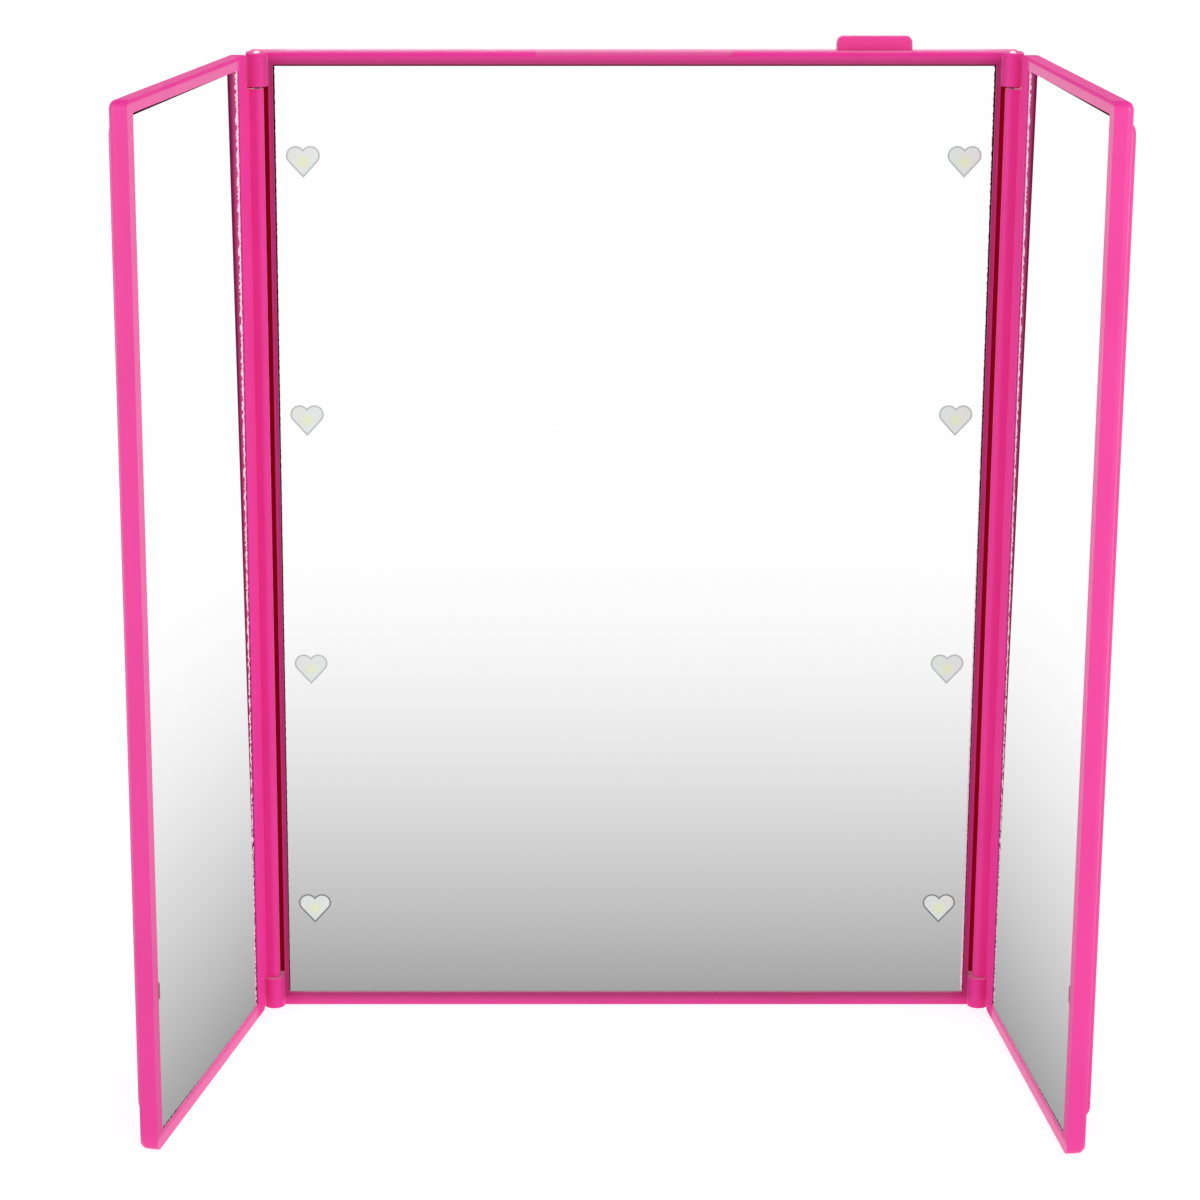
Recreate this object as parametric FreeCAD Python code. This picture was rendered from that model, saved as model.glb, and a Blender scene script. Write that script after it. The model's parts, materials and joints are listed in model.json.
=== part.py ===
"""Lighted trifold makeup mirror: a middle panel with lamps, and two folding wings.

X runs to the right, Y to the back and Z up, in millimetres. The origin is in the middle of the
bottom face of the middle housing. Depths are counted backwards from the middle bezel's front plane.
"""
import FreeCAD
import Part
import math
import os

os.makedirs("parts", exist_ok=True)

Vector = FreeCAD.Vector

# Middle panel: bezel, pane and housing
HEIGHT = 186.0              # all three panels are this tall
TOP_RAIL = 2.35             # bars above and below the mirrors, on all three panels
BOTTOM_RAIL = 2.75
VIEW_WIDTH = 131.5          # width of the middle mirror that shows
STILE = 1.05                # narrow side bars between the mirror and the hinge channels
LIP = 0.5                   # bezel lip in front of the pane
GLASS_LAP = 0.5             # how far a pane reaches behind its lip
GLASS_GAP = 0.15            # room round a pane in its pocket
GLASS = 2.0                 # thickness of the middle pane
BACK_WALL = 1.8             # wall of the back shell
BACK_ROUND = 1.5            # rounding of the back shell's outer edge
OUTLINE_ROUND = 1.0         # rounded corners of the panels, seen from the front
EDGE_ROUND = 0.4            # small rounding of front edges
SEAM = 0.05                 # room between pieces that sit against each other
ROUND_SHARE = 0.9           # largest rounding, as a share of the wall that carries it
PAST = 1.0                  # how far a cut reaches past what it cuts
NEAR = 1e-4                 # lengths closer than this count as equal

# Thumb scoop in the top edge
SCOOP_WIDTH = 36.0
SCOOP_DROP = 0.6
SCOOP_RUN = 4.2

# Hinges
KNUCKLE_RADIUS = 2.0
KNUCKLE_HEIGHT = 6.0
KNUCKLE_ROUND = 0.3
AXIS_FORWARD = 0.1          # the hinge axis stands this far in front of the middle bezel plane
WING_SET_BACK = 1.25        # a wing's bezel plane lies this far from the hinge axis
BARREL_RADIUS = 1.15
BARREL_GAP = 0.5            # gap between a knuckle and the barrel's end
LEAF = 0.9                  # thin leaf between a wing's frame and its barrel
CHANNEL_GAP = 0.4           # room behind the leaf in the hinge channel
HOUSING_MARGIN = 0.05       # housing beyond the knuckles on each side
PIN_RADIUS = 0.6
PIN_PRESS_GAP = 0.02        # radial room of a pin in its knuckle
PIN_RUN_GAP = 0.05          # radial room of a pin in the barrel
PIN_REACH = 10.0            # length of a pin inside the barrel
PIN_PROUD = 0.25            # top pins stand out of their knuckles
PIN_SUNK = 0.5              # bottom pins stop short of the table
PIN_END_ROOM = 1.0

# Wings
LEFT_OPENING = 102.6        # angle between the left wing and the middle panel, as it stands
RIGHT_OPENING = 94.5        # angle between the right wing and the middle panel
WING_SIDE_GAP = 0.25        # gap beside the housing when a wing lies open flat
WING_MEET_GAP = 0.6         # each closed wing stops this far from the middle line
WING_INNER_STILE = 4.55
WING_OUTER_STILE = 2.9
WING_LIP = 0.3
WING_GLASS = 1.8
TAPE = 0.7
TAPE_WIDTH = 2.6
COVER_FLANGE = 0.8
WING_BACK_ROUND = 1.5
PAD_RAISE = 1.8             # raised outer panel of a wing
PAD_INSET = 2.4
PAD_CORNER = 2.2
PAD_ROUND = 1.2
PAD_WALL = 1.2
CATCH_HEIGHT = 25.0         # small catch on the outer bar, above the mirror's lower edge
CATCH_LENGTH = 3.0
CATCH_REACH = 0.9
CATCH_SET_BACK = 0.05

# Heart windows and lamps
HEART_WIDTH = 6.35
HEART_HEIGHT = 6.0
HEART_LOBE = 1.8
HEART_LOBE_TURN = 60.0      # a point on each lobe that its arc passes through, in degrees
HEART_COUNT = 4             # on each side
HEART_INSET = 5.05          # heart centres from the side of the mirror
HEART_END = 17.4            # heart centres from the top and bottom of the mirror
LED_LENGTH = 3.5
LED_WIDTH = 2.8
LED_TALL = 1.6
LED_GLASS_GAP = 0.9
LED_CUP_RADIUS = 1.2
LED_CUP_FLOOR = 0.9
LED_CUP_DEPTH = 0.4
BOARD = 0.6
BOARD_WIDTH = 8.0
BOARD_END = 6.0             # board beyond the outer lamps
PEG_RADIUS = 1.0
PEG_GAP = 0.1
PEG_END = 3.0               # pegs from the ends of a lamp board
PEG_TALL = 1.0

# Button and switch
BUTTON_FROM_SIDE = 21.75    # middle of the button from the side of the middle mirror
BUTTON_LENGTH = 13.8
BUTTON_PROUD = 2.65
BUTTON_ROUND = 0.7
BUTTON_GAP = 0.15
BUTTON_TRAVEL = 0.8
BUTTON_FLANGE_SIDE = 1.2
BUTTON_FLANGE_TALL = 1.4
BUTTON_FOOT_TALL = 3.0
BUTTON_FOOT_LENGTH = 4.0
BUTTON_GLASS_GAP = 0.7      # button behind the middle pane
SWITCH_LENGTH = 7.0
SWITCH_TALL = 4.0
PLUNGER_LENGTH = 2.6
PLUNGER_THICK = 1.0
PLUNGER_OUT = 1.6
PLUNGER_IN = 1.0
PLUNGER_ROOM = 0.1
CONTROL_WIDTH = 16.0
CONTROL_BELOW = 12.0        # control board below the switch body

# Battery box on the back
CELL_RADIUS = 5.25
CELL_LENGTH = 44.5
CELL_NUB_RADIUS = 1.9
CELL_NUB = 1.0
CELL_ROUND = 0.5
CELL_PITCH = 11.0
CELL_COUNT = 4
CELL_SIDE_ROOM = 0.3
CELL_FLOOR_GAP = 0.15
BAY_FLOOR = 1.2
BAY_GLASS_GAP = 0.5         # bay floor behind the middle pane
BOX_END_WALL = 2.0
BOX_SIDE_WALL = 1.6
BOX_FROM_BOTTOM = 12.0
BOX_CORNER = 3.0
BOX_EDGE_ROUND = 0.6
CONTACT = 0.4
CONTACT_WIDTH = 7.0
CONTACT_BOSS = 0.6
CONTACT_BOSS_RADIUS = 2.2
CONTACT_SPRING = 3.6
CONTACT_SPRING_WIDTH = 4.0
CONTACT_SPRING_HALF = 3.6
TAG_WIDTH = 2.0
TAG_LENGTH = 4.0
TAG_ROOM = 0.1
DOOR_TONGUE = 0.8
DOOR_TONGUE_WIDTH = 1.2
DOOR_GAP = 0.15
DOOR_SIDE_GAP = 0.3
DOOR_TOP = 0.9              # door above its tongues
DOOR_CELL_GAP = 0.25
DOOR_END_GAP = 0.2
DOOR_ROUND = 0.5
GRIP_COUNT = 5
GRIP_PITCH = 2.4
GRIP_WIDTH = 1.1
GRIP_LENGTH = 16.0
GRIP_RAISE = 0.4
GRIP_FROM_END = 5.0

# Screws, foam and wires
SCREW_RADIUS = 0.85
SCREW_HOLE_GAP = 0.05
SCREW_HEAD_RADIUS = 1.5
SCREW_HEAD = 0.8
SCREW_HEAD_GAP = 0.1
SCREW_LENGTH = 3.6
SCREW_END = 14.0            # outer screws from the ends of the housing
SCREW_SLOT = 0.5
FOAM_WIDTH = 14.0
FOAM_LENGTH = 24.0
FOAM_LOW_OUT = 40.0         # lower foam pads from the middle, and from the bottom
FOAM_LOW_UP = 40.0
FOAM_HIGH_OUT = 20.0        # upper foam pads from the middle, and from the top
FOAM_HIGH_DOWN = 40.0
WIRE_RADIUS = 0.5
WIRE_BEND = 8.0
WIRE_LIFT = 0.05
LEAD_SPREAD = 6.0           # between the two battery leads at the control board
NEGATIVE_LEAD_BELOW = 37.0  # level runs of the battery leads below the control board
POSITIVE_LEAD_BELOW = 53.0
LED_LEAD_BELOW = 6.0        # lamp leads below the control board's top

# Sizes that follow from those above
view_bottom = BOTTOM_RAIL
view_top = HEIGHT - TOP_RAIL
half_view = VIEW_WIDTH / 2
half_pane = half_view + GLASS_LAP
half_pocket = half_pane + GLASS_GAP
pane_bottom = view_bottom - GLASS_LAP
pane_top = view_top + GLASS_LAP
pocket_bottom = pane_bottom - GLASS_GAP
pocket_top = pane_top + GLASS_GAP
axis_x = half_view + STILE + KNUCKLE_RADIUS
half_housing = axis_x + KNUCKLE_RADIUS + HOUSING_MARGIN
channel_depth = WING_SET_BACK + LEAF - AXIS_FORWARD + CHANNEL_GAP
glass_back = LIP + GLASS
board_front = glass_back + LED_GLASS_GAP + LED_TALL
front_depth = board_front + BOARD
housing_depth = front_depth + BACK_WALL
front_y = -housing_depth / 2
axis_y = front_y - AXIS_FORWARD

wing_start = half_housing - axis_x + WING_SIDE_GAP
wing_end = axis_x - WING_MEET_GAP
wing_front = WING_SET_BACK
leaf_back = wing_front + LEAF
wing_glass_front = wing_front + WING_LIP
wing_glass_back = wing_glass_front + WING_GLASS
cover_front = wing_glass_back + TAPE
wing_back = cover_front + COVER_FLANGE
wing_view_start = wing_start + WING_INNER_STILE
wing_view_end = wing_end - WING_OUTER_STILE

button_x = half_view - BUTTON_FROM_SIDE
heart_x = half_view - HEART_INSET
heart_step = (view_top - view_bottom - 2 * HEART_END) / (HEART_COUNT - 1)
heart_heights = [view_bottom + HEART_END + heart_step * i for i in range(HEART_COUNT)]

button_front = glass_back + BUTTON_GLASS_GAP
button_back = front_depth - BUTTON_GAP
flange_top = pocket_top - BUTTON_GAP
foot_top = flange_top - BUTTON_FLANGE_TALL
foot_bottom = foot_top - BUTTON_FOOT_TALL
switch_top = foot_bottom - PLUNGER_OUT
switch_bottom = switch_top - SWITCH_TALL
switch_front = glass_back + LED_GLASS_GAP
control_top = switch_top
control_bottom = switch_bottom - CONTROL_BELOW

bay_floor_front = glass_back + BAY_GLASS_GAP
bay_floor = bay_floor_front + BAY_FLOOR
half_bay = CELL_COUNT * CELL_PITCH / 2 + CELL_SIDE_ROOM
bay_length = CELL_LENGTH + CONTACT_SPRING + CONTACT_BOSS + 2 * CONTACT + 2 * SEAM
bay_bottom = BOX_FROM_BOTTOM + BOX_END_WALL
bay_top = bay_bottom + bay_length
box_top = bay_top + BOX_END_WALL
cell_depth = bay_floor + CELL_FLOOR_GAP + CELL_RADIUS
door_front = cell_depth + CELL_RADIUS + DOOR_CELL_GAP
tongue_back = door_front + DOOR_TONGUE
groove_front = door_front - DOOR_GAP
groove_back = tongue_back + DOOR_GAP
door_back = tongue_back + DOOR_TOP
box_back = door_back + DOOR_GAP
half_groove = half_bay + DOOR_TONGUE_WIDTH
half_box = half_groove + BOX_SIDE_WALL
half_mouth = half_bay - DOOR_SIDE_GAP

screw_x = (half_pocket + half_housing) / 2
screw_heights = [SCREW_END, HEIGHT / 2, HEIGHT - SCREW_END]
screw_seat = housing_depth - SCREW_HEAD - SCREW_HEAD_GAP

SIDES = {"left": -1, "right": 1}


# Helpers

def at_depth(depth):
    """Y of a depth behind the middle bezel's front plane."""
    return front_y + depth


def block(x_range, y_range, z_range):
    """Box between two values on each axis."""
    corner = Vector(x_range[0], y_range[0], z_range[0])
    size = [high - low for low, high in (x_range, y_range, z_range)]
    return Part.makeBox(size[0], size[1], size[2], corner)


def plate(x_range, y_range, z_range, corner):
    """Box with its four corners rounded as seen from the front."""
    body = block(x_range, y_range, z_range)
    depth = y_range[1] - y_range[0]
    upright = [edge for edge in body.Edges if abs(edge.BoundBox.YLength - depth) < NEAR]
    return body.makeFillet(corner, upright)


def post(radius, x, z, y_range):
    """Round post along Y."""
    return Part.makeCylinder(radius, y_range[1] - y_range[0], Vector(x, y_range[0], z), Vector(0, 1, 0))


def upright_post(radius, x, y, z_range):
    """Round post along Z."""
    return Part.makeCylinder(radius, z_range[1] - z_range[0], Vector(x, y, z_range[0]))


def edges_at(body, axis, value):
    """Edges that lie wholly in one plane across an axis."""
    found = []
    for edge in body.Edges:
        box = edge.BoundBox
        low = getattr(box, axis + "Min")
        high = getattr(box, axis + "Max")
        if abs(low - value) < NEAR and abs(high - value) < NEAR:
            found.append(edge)
    return found


def round_at(body, axis, value, radius):
    """Round every edge that lies in one plane across an axis."""
    return body.makeFillet(radius, edges_at(body, axis, value))


def outline_prism(points, direction):
    """Closed outline of straight runs, pulled along a direction."""
    wire = Part.makePolygon(points + points[:1])
    return Part.Face(wire).extrude(direction)


def mirrored(body):
    """The same shape on the other side of the middle plane."""
    return body.mirror(Vector(0, 0, 0), Vector(1, 0, 0))


def both_sides(body):
    """A shape and its mirror image."""
    return [body, mirrored(body)]


def save(name, bodies):
    """Write one node, with a solid for each separate piece in it."""
    shapes = bodies if isinstance(bodies, list) else [bodies]
    solids = [solid for shape in shapes for solid in shape.Solids]
    for solid in solids:
        if not solid.isValid() or solid.Volume <= 0:
            raise ValueError("bad solid in " + name)
    result = solids[0] if len(solids) == 1 else Part.makeCompound(solids)
    result.exportStep("parts/" + name + ".step")
    print(name, len(solids), "solid(s)", round(sum(solid.Volume for solid in solids), 1), "mm3")


# Middle front frame

def knuckle(bottom):
    """Right-hand hinge knuckle: a rounded block that grows out of the frame's side."""
    top = bottom + KNUCKLE_HEIGHT
    inner = axis_x - KNUCKLE_RADIUS
    outer = axis_x + KNUCKLE_RADIUS
    root = at_depth(channel_depth)
    front = Vector(axis_x, axis_y - KNUCKLE_RADIUS, bottom)
    inner_side = Part.LineSegment(Vector(inner, root, bottom), Vector(inner, axis_y, bottom))
    nose = Part.Arc(Vector(inner, axis_y, bottom), front, Vector(outer, axis_y, bottom))
    outer_side = Part.LineSegment(Vector(outer, axis_y, bottom), Vector(outer, root, bottom))
    base = Part.LineSegment(Vector(outer, root, bottom), Vector(inner, root, bottom))
    wire = Part.Wire([part.toShape() for part in (inner_side, nose, outer_side, base)])
    body = Part.Face(wire).extrude(Vector(0, 0, KNUCKLE_HEIGHT))
    ends = [edge for z in (bottom, top) for edge in edges_at(body, "Z", z)]
    body = body.makeFillet(KNUCKLE_ROUND, [edge for edge in ends if edge.BoundBox.YMin < root - NEAR])
    bore = upright_post(PIN_RADIUS + PIN_PRESS_GAP, axis_x, axis_y, (bottom - PAST, top + PAST))
    return body.cut(bore)


def thumb_scoop():
    """Wedge taken out of the top front edge, so that a thumb finds the closed wings."""
    front = at_depth(0)
    half = SCOOP_WIDTH / 2
    above = HEIGHT + SCOOP_DROP
    points = [
        Vector(-half, front - SCOOP_DROP, HEIGHT - SCOOP_DROP),
        Vector(-half, front, HEIGHT - SCOOP_DROP),
        Vector(-half, front + SCOOP_RUN, HEIGHT),
        Vector(-half, front + SCOOP_RUN, above),
        Vector(-half, front - SCOOP_DROP, above),
    ]
    return outline_prism(points, Vector(SCOOP_WIDTH, 0, 0))


def centre_front_frame():
    """Bezel, side walls, hinge channels and knuckles in one moulding."""
    depths = (at_depth(0), at_depth(front_depth))
    body = plate((-half_housing, half_housing), depths, (0, HEIGHT), OUTLINE_ROUND)
    through = (depths[0] - PAST, depths[1] + PAST)
    opening = plate((-half_view, half_view), through, (view_bottom, view_top), EDGE_ROUND)
    pocket = block((-half_pocket, half_pocket), (at_depth(LIP), through[1]), (pocket_bottom, pocket_top))
    channel_inner = axis_x - KNUCKLE_RADIUS
    channel_x = (channel_inner, half_housing + PAST)
    channel = block(channel_x, (through[0], at_depth(channel_depth)), (-PAST, HEIGHT + PAST))
    body = body.cut(Part.makeCompound([opening, pocket] + both_sides(channel)))
    level = [edge for edge in edges_at(body, "Y", depths[0]) if edge.BoundBox.XLength > half_view]
    body = body.makeFillet(EDGE_ROUND, level)
    body = body.cut(thumb_scoop())
    half_slot = BUTTON_LENGTH / 2 + BUTTON_GAP
    slot_x = (button_x - half_slot, button_x + half_slot)
    slot_depths = (at_depth(button_front - BUTTON_GAP), through[1])
    slot = block(slot_x, slot_depths, (pocket_top - PAST, HEIGHT + PAST))
    body = body.cut(slot)
    for bottom in (0, HEIGHT - KNUCKLE_HEIGHT):
        body = body.fuse(both_sides(knuckle(bottom)))
    pilot = (at_depth(screw_seat - SCREW_LENGTH - SCREW_HOLE_GAP), through[1])
    holes = [post(SCREW_RADIUS + SCREW_HOLE_GAP, screw_x, z, pilot) for z in screw_heights]
    for hole in holes:
        body = body.cut(both_sides(hole))
    return body.removeSplitter()


# Middle pane and its heart windows

def heart_face(x, z, y, grow):
    """Heart outline from two round lobes and two straight sides that meet in a point below."""
    lobe_x = HEART_WIDTH / 2 - HEART_LOBE
    lobe_z = HEART_HEIGHT / 2 - HEART_LOBE
    point_drop = lobe_z + HEART_HEIGHT / 2
    reach = math.hypot(lobe_x, point_drop)
    half_point = math.asin(HEART_LOBE / reach) + math.atan2(lobe_x, point_drop)
    lobe = HEART_LOBE + grow
    point = Vector(x, y, z - HEART_HEIGHT / 2 - grow / math.sin(half_point))
    side_x = lobe * math.cos(half_point)
    side_z = lobe * math.sin(half_point)
    notch = Vector(x, y, z + lobe_z + math.sqrt(lobe * lobe - lobe_x * lobe_x))
    runs = []
    for sign in (1, -1):
        centre_x = x + sign * lobe_x
        side = Vector(centre_x + sign * side_x, y, z + lobe_z - side_z)
        top_turn = math.radians(HEART_LOBE_TURN)
        top = Vector(centre_x + sign * lobe * math.cos(top_turn), y, z + lobe_z + lobe * math.sin(top_turn))
        runs.append(Part.LineSegment(point, side).toShape())
        runs.append(Part.Arc(side, top, notch).toShape())
    return Part.Face(Part.Wire(Part.__sortEdges__(runs)))


def hearts(depths, grow):
    """All heart prisms between two depths."""
    shapes = []
    for x in (-heart_x, heart_x):
        for z in heart_heights:
            face = heart_face(x, z, at_depth(depths[0]), grow)
            shapes.append(face.extrude(Vector(0, depths[1] - depths[0], 0)))
    return shapes


def centre_mirror():
    """Silvered pane, cleared where the heart windows are."""
    depths = (at_depth(LIP), at_depth(glass_back))
    pane = block((-half_pane, half_pane), depths, (pane_bottom, pane_top))
    return pane.cut(hearts((LIP - PAST, glass_back + PAST), 0))


# Lamps, boards and switch

def led(side, z):
    """Surface-mounted lamp with a round cup that faces the heart window."""
    x = side * heart_x
    x_range = (x - LED_WIDTH / 2, x + LED_WIDTH / 2)
    z_range = (z - LED_LENGTH / 2, z + LED_LENGTH / 2)
    face = at_depth(board_front - LED_TALL)
    body = block(x_range, (face, at_depth(board_front)), z_range)
    cup = Part.makeCone(LED_CUP_RADIUS, LED_CUP_FLOOR, LED_CUP_DEPTH, Vector(x, face, z), Vector(0, 1, 0))
    return body.cut(cup)


board_bottom = heart_heights[0] - LED_LENGTH / 2 - BOARD_END
board_top = heart_heights[-1] + LED_LENGTH / 2 + BOARD_END
peg_heights = (board_bottom + PEG_END, board_top - PEG_END)


def led_board(side):
    """Circuit strip on the back shell, held by two pegs."""
    x = side * heart_x
    depths = (at_depth(board_front), at_depth(front_depth))
    x_range = (x - BOARD_WIDTH / 2, x + BOARD_WIDTH / 2)
    body = block(x_range, depths, (board_bottom, board_top))
    through = (depths[0] - PAST, depths[1] + PAST)
    return body.cut([post(PEG_RADIUS + PEG_GAP, x, z, through) for z in peg_heights])


def control_board():
    """Small circuit board under the button."""
    x_range = (button_x - CONTROL_WIDTH / 2, button_x + CONTROL_WIDTH / 2)
    return block(x_range, (at_depth(board_front), at_depth(front_depth)), (control_bottom, control_top))


plunger_middle = at_depth((switch_front + board_front) / 2)


def plunger_block(z_range, room):
    """Straight bar for the plunger, or for the hole that it slides in."""
    half_length = PLUNGER_LENGTH / 2 + room
    half_thick = PLUNGER_THICK / 2 + room
    x_range = (button_x - half_length, button_x + half_length)
    return block(x_range, (plunger_middle - half_thick, plunger_middle + half_thick), z_range)


def power_switch():
    """Switch body, open at the top for its plunger."""
    half = SWITCH_LENGTH / 2
    depths = (at_depth(switch_front), at_depth(board_front))
    body = block((button_x - half, button_x + half), depths, (switch_bottom, switch_top))
    hole_bottom = switch_top - PLUNGER_IN - BUTTON_TRAVEL - PLUNGER_ROOM
    return body.cut(plunger_block((hole_bottom, switch_top + PAST), PLUNGER_ROOM))


def switch_plunger():
    """Plunger that the button's foot pushes."""
    return plunger_block((switch_top - PLUNGER_IN, foot_bottom), 0)


def power_button():
    """Rounded cap above the top edge, a flange that keeps it in, and a foot over the switch."""
    depths = (at_depth(button_front), at_depth(button_back))
    half = BUTTON_LENGTH / 2
    top = HEIGHT + BUTTON_PROUD
    cap = block((button_x - half, button_x + half), depths, (foot_top, top))
    across = [edge for edge in cap.Edges if edge.BoundBox.YLength > NEAR and edge.BoundBox.ZMin > top - NEAR]
    cap = cap.makeFillet(BUTTON_ROUND, across)
    upper = [edge for edge in cap.Edges if edge.BoundBox.ZMin > HEIGHT and edge.BoundBox.YLength < NEAR]
    cap = cap.makeFillet(EDGE_ROUND, upper)
    half_flange = half + BUTTON_FLANGE_SIDE
    flange = block((button_x - half_flange, button_x + half_flange), depths, (foot_top, flange_top))
    half_foot = BUTTON_FOOT_LENGTH / 2
    foot_depths = (at_depth(button_front), at_depth(board_front - BUTTON_GAP))
    foot = block((button_x - half_foot, button_x + half_foot), foot_depths, (foot_bottom, foot_top + SEAM))
    return cap.fuse([flange, foot]).removeSplitter()


# Back shell, battery box and door

def battery_box():
    """Raised box on the back, with grooves for a lid that slides in from above."""
    depths = (at_depth(bay_floor_front), at_depth(box_back))
    body = plate((-half_box, half_box), depths, (BOX_FROM_BOTTOM, box_top), BOX_CORNER)
    return round_at(body, "Y", depths[1], BOX_EDGE_ROUND)


def battery_hollow():
    """Room for the cells, the lid's grooves and mouth, and the slots for the contact tags."""
    bay_depths = (at_depth(bay_floor), at_depth(box_back + PAST))
    bay = block((-half_bay, half_bay), bay_depths, (bay_bottom, bay_top))
    groove_depths = (at_depth(groove_front), at_depth(groove_back))
    mouth_depths = (at_depth(groove_front), at_depth(box_back + PAST))
    z_range = (bay_bottom, box_top + PAST)
    groove = block((-half_groove, half_groove), groove_depths, z_range)
    mouth = block((-half_bay, half_bay), mouth_depths, z_range)
    slots = [tag_bar(x, (bay_top - PAST, box_top + PAST), TAG_ROOM) for x in terminal_places]
    return Part.makeCompound([bay.fuse([groove, mouth])] + slots)


def centre_back_shell():
    """Rear half of the middle housing with its battery box, screw seats and board pegs."""
    inside = at_depth(front_depth)
    outside = at_depth(housing_depth)
    body = plate((-half_housing, half_housing), (inside, outside), (0, HEIGHT), OUTLINE_ROUND)
    body = round_at(body, "Y", outside, min(BACK_ROUND, BACK_WALL * ROUND_SHARE))
    body = body.fuse(battery_box())
    pegs = [post(PEG_RADIUS, side * heart_x, z, (inside - PEG_TALL, inside + SEAM))
            for side in SIDES.values() for z in peg_heights]
    body = body.fuse(pegs)
    body = body.cut(battery_hollow())
    for z in screw_heights:
        hole = post(SCREW_RADIUS + SCREW_HEAD_GAP, screw_x, z, (inside - PAST, outside + PAST))
        seat = post(SCREW_HEAD_RADIUS + SCREW_HEAD_GAP, screw_x, z, (at_depth(screw_seat), outside + PAST))
        body = body.cut(both_sides(hole.fuse(seat)))
    return body.removeSplitter()


def battery_door():
    """Sliding lid with a tongue along each side and ribs for the thumb."""
    z_range = (bay_bottom + DOOR_END_GAP, box_top)
    half_tongue = half_groove - DOOR_SIDE_GAP
    tongue = block((-half_tongue, half_tongue), (at_depth(door_front), at_depth(tongue_back)), z_range)
    top = block((-half_mouth, half_mouth), (at_depth(door_front), at_depth(door_back)), z_range)
    top = round_at(top, "Y", at_depth(door_back), DOOR_ROUND)
    ribs = []
    for i in range(GRIP_COUNT):
        low = box_top - GRIP_FROM_END - GRIP_PITCH * i - GRIP_WIDTH
        depths = (at_depth(door_back - GRIP_RAISE), at_depth(door_back + GRIP_RAISE))
        rib = block((-GRIP_LENGTH / 2, GRIP_LENGTH / 2), depths, (low, low + GRIP_WIDTH))
        ribs.append(round_at(rib, "Y", depths[1], GRIP_RAISE * ROUND_SHARE))
    return tongue.fuse([top] + ribs).removeSplitter()


# Cells and their contacts

cell_places = [(i - (CELL_COUNT - 1) / 2) * CELL_PITCH for i in range(CELL_COUNT)]
terminal_places = (cell_places[0], cell_places[-1])
left_pair, middle_pair, right_pair = [(i, i + 1) for i in range(CELL_COUNT - 1)]


def faces_up(index):
    """Whether a cell's nub is at the top; every other cell is turned round."""
    return index % 2 == 1


def battery_cell(index):
    """AAA cell turned from its half section: a can with a rounded rim and a nub."""
    body = upright_post(CELL_RADIUS, 0, 0, (0, CELL_LENGTH - CELL_NUB))
    rims = [edge for z in (0, CELL_LENGTH - CELL_NUB) for edge in edges_at(body, "Z", z)]
    body = body.makeFillet(CELL_ROUND, rims)
    nub = upright_post(CELL_NUB_RADIUS, 0, 0, (CELL_LENGTH - CELL_NUB - SEAM, CELL_LENGTH))
    body = body.fuse(nub)
    place = Vector(cell_places[index], at_depth(cell_depth), bay_bottom + CONTACT + CONTACT_SPRING + SEAM)
    if not faces_up(index):
        body.rotate(Vector(0, 0, CELL_LENGTH / 2), Vector(1, 0, 0), 180)
        place.z = bay_bottom + CONTACT + CONTACT_BOSS + SEAM
    body.translate(place)
    return body


def contact_bow(x):
    """Bowed leaf that presses on a cell's flat end, standing on z = 0."""
    y = at_depth(cell_depth)
    outer_rise = CONTACT + CONTACT_SPRING
    outer = Part.Arc(Vector(x, y - CONTACT_SPRING_HALF, 0), Vector(x, y, outer_rise),
                     Vector(x, y + CONTACT_SPRING_HALF, 0))
    inner_half = CONTACT_SPRING_HALF - CONTACT
    inner = Part.Arc(Vector(x, y - inner_half, 0), Vector(x, y, outer_rise - CONTACT),
                     Vector(x, y + inner_half, 0))
    near = Part.LineSegment(Vector(x, y - CONTACT_SPRING_HALF, 0), Vector(x, y - inner_half, 0))
    far = Part.LineSegment(Vector(x, y + CONTACT_SPRING_HALF, 0), Vector(x, y + inner_half, 0))
    runs = Part.__sortEdges__([part.toShape() for part in (outer, far, inner, near)])
    leaf = Part.Face(Part.Wire(runs)).extrude(Vector(CONTACT_SPRING_WIDTH, 0, 0))
    leaf.translate(Vector(-CONTACT_SPRING_WIDTH / 2, 0, 0))
    return leaf


def contact_boss(x):
    """Round boss that meets a cell's nub, standing on z = 0."""
    return upright_post(CONTACT_BOSS_RADIUS, x, at_depth(cell_depth), (0, CONTACT + CONTACT_BOSS))


def tag_bar(x, z_range, room):
    """Flat bar for a terminal's tag, or for the slot that it passes through."""
    low = bay_floor + TAG_ROOM
    depths = (at_depth(low - room), at_depth(low + CONTACT + room))
    return block((x - TAG_WIDTH / 2 - room, x + TAG_WIDTH / 2 + room), depths, z_range)


def contact(cells, at_top):
    """Plate against the end of the bay with a bow or a boss for each cell that it meets."""
    places = [cell_places[index] for index in cells]
    x_range = (min(places) - CONTACT_WIDTH / 2, max(places) + CONTACT_WIDTH / 2)
    depths = (at_depth(bay_floor + TAG_ROOM), at_depth(cell_depth + CELL_RADIUS - TAG_ROOM))
    body = block(x_range, depths, (0, CONTACT))
    for index in cells:
        meets_nub = faces_up(index) == at_top
        body = body.fuse(contact_boss(cell_places[index]) if meets_nub else contact_bow(cell_places[index]))
    if at_top:
        body = body.mirror(Vector(0, 0, 0), Vector(0, 0, 1))
        body.translate(Vector(0, 0, bay_top))
    else:
        body.translate(Vector(0, 0, bay_bottom))
    return body


def terminal(index):
    """End contact with a tag that passes through the wall to its lead."""
    tag = tag_bar(cell_places[index], (bay_top - CONTACT, box_top + TAG_LENGTH), 0)
    return contact([index], True).fuse(tag).removeSplitter()


# Screws, foam and wires

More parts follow.
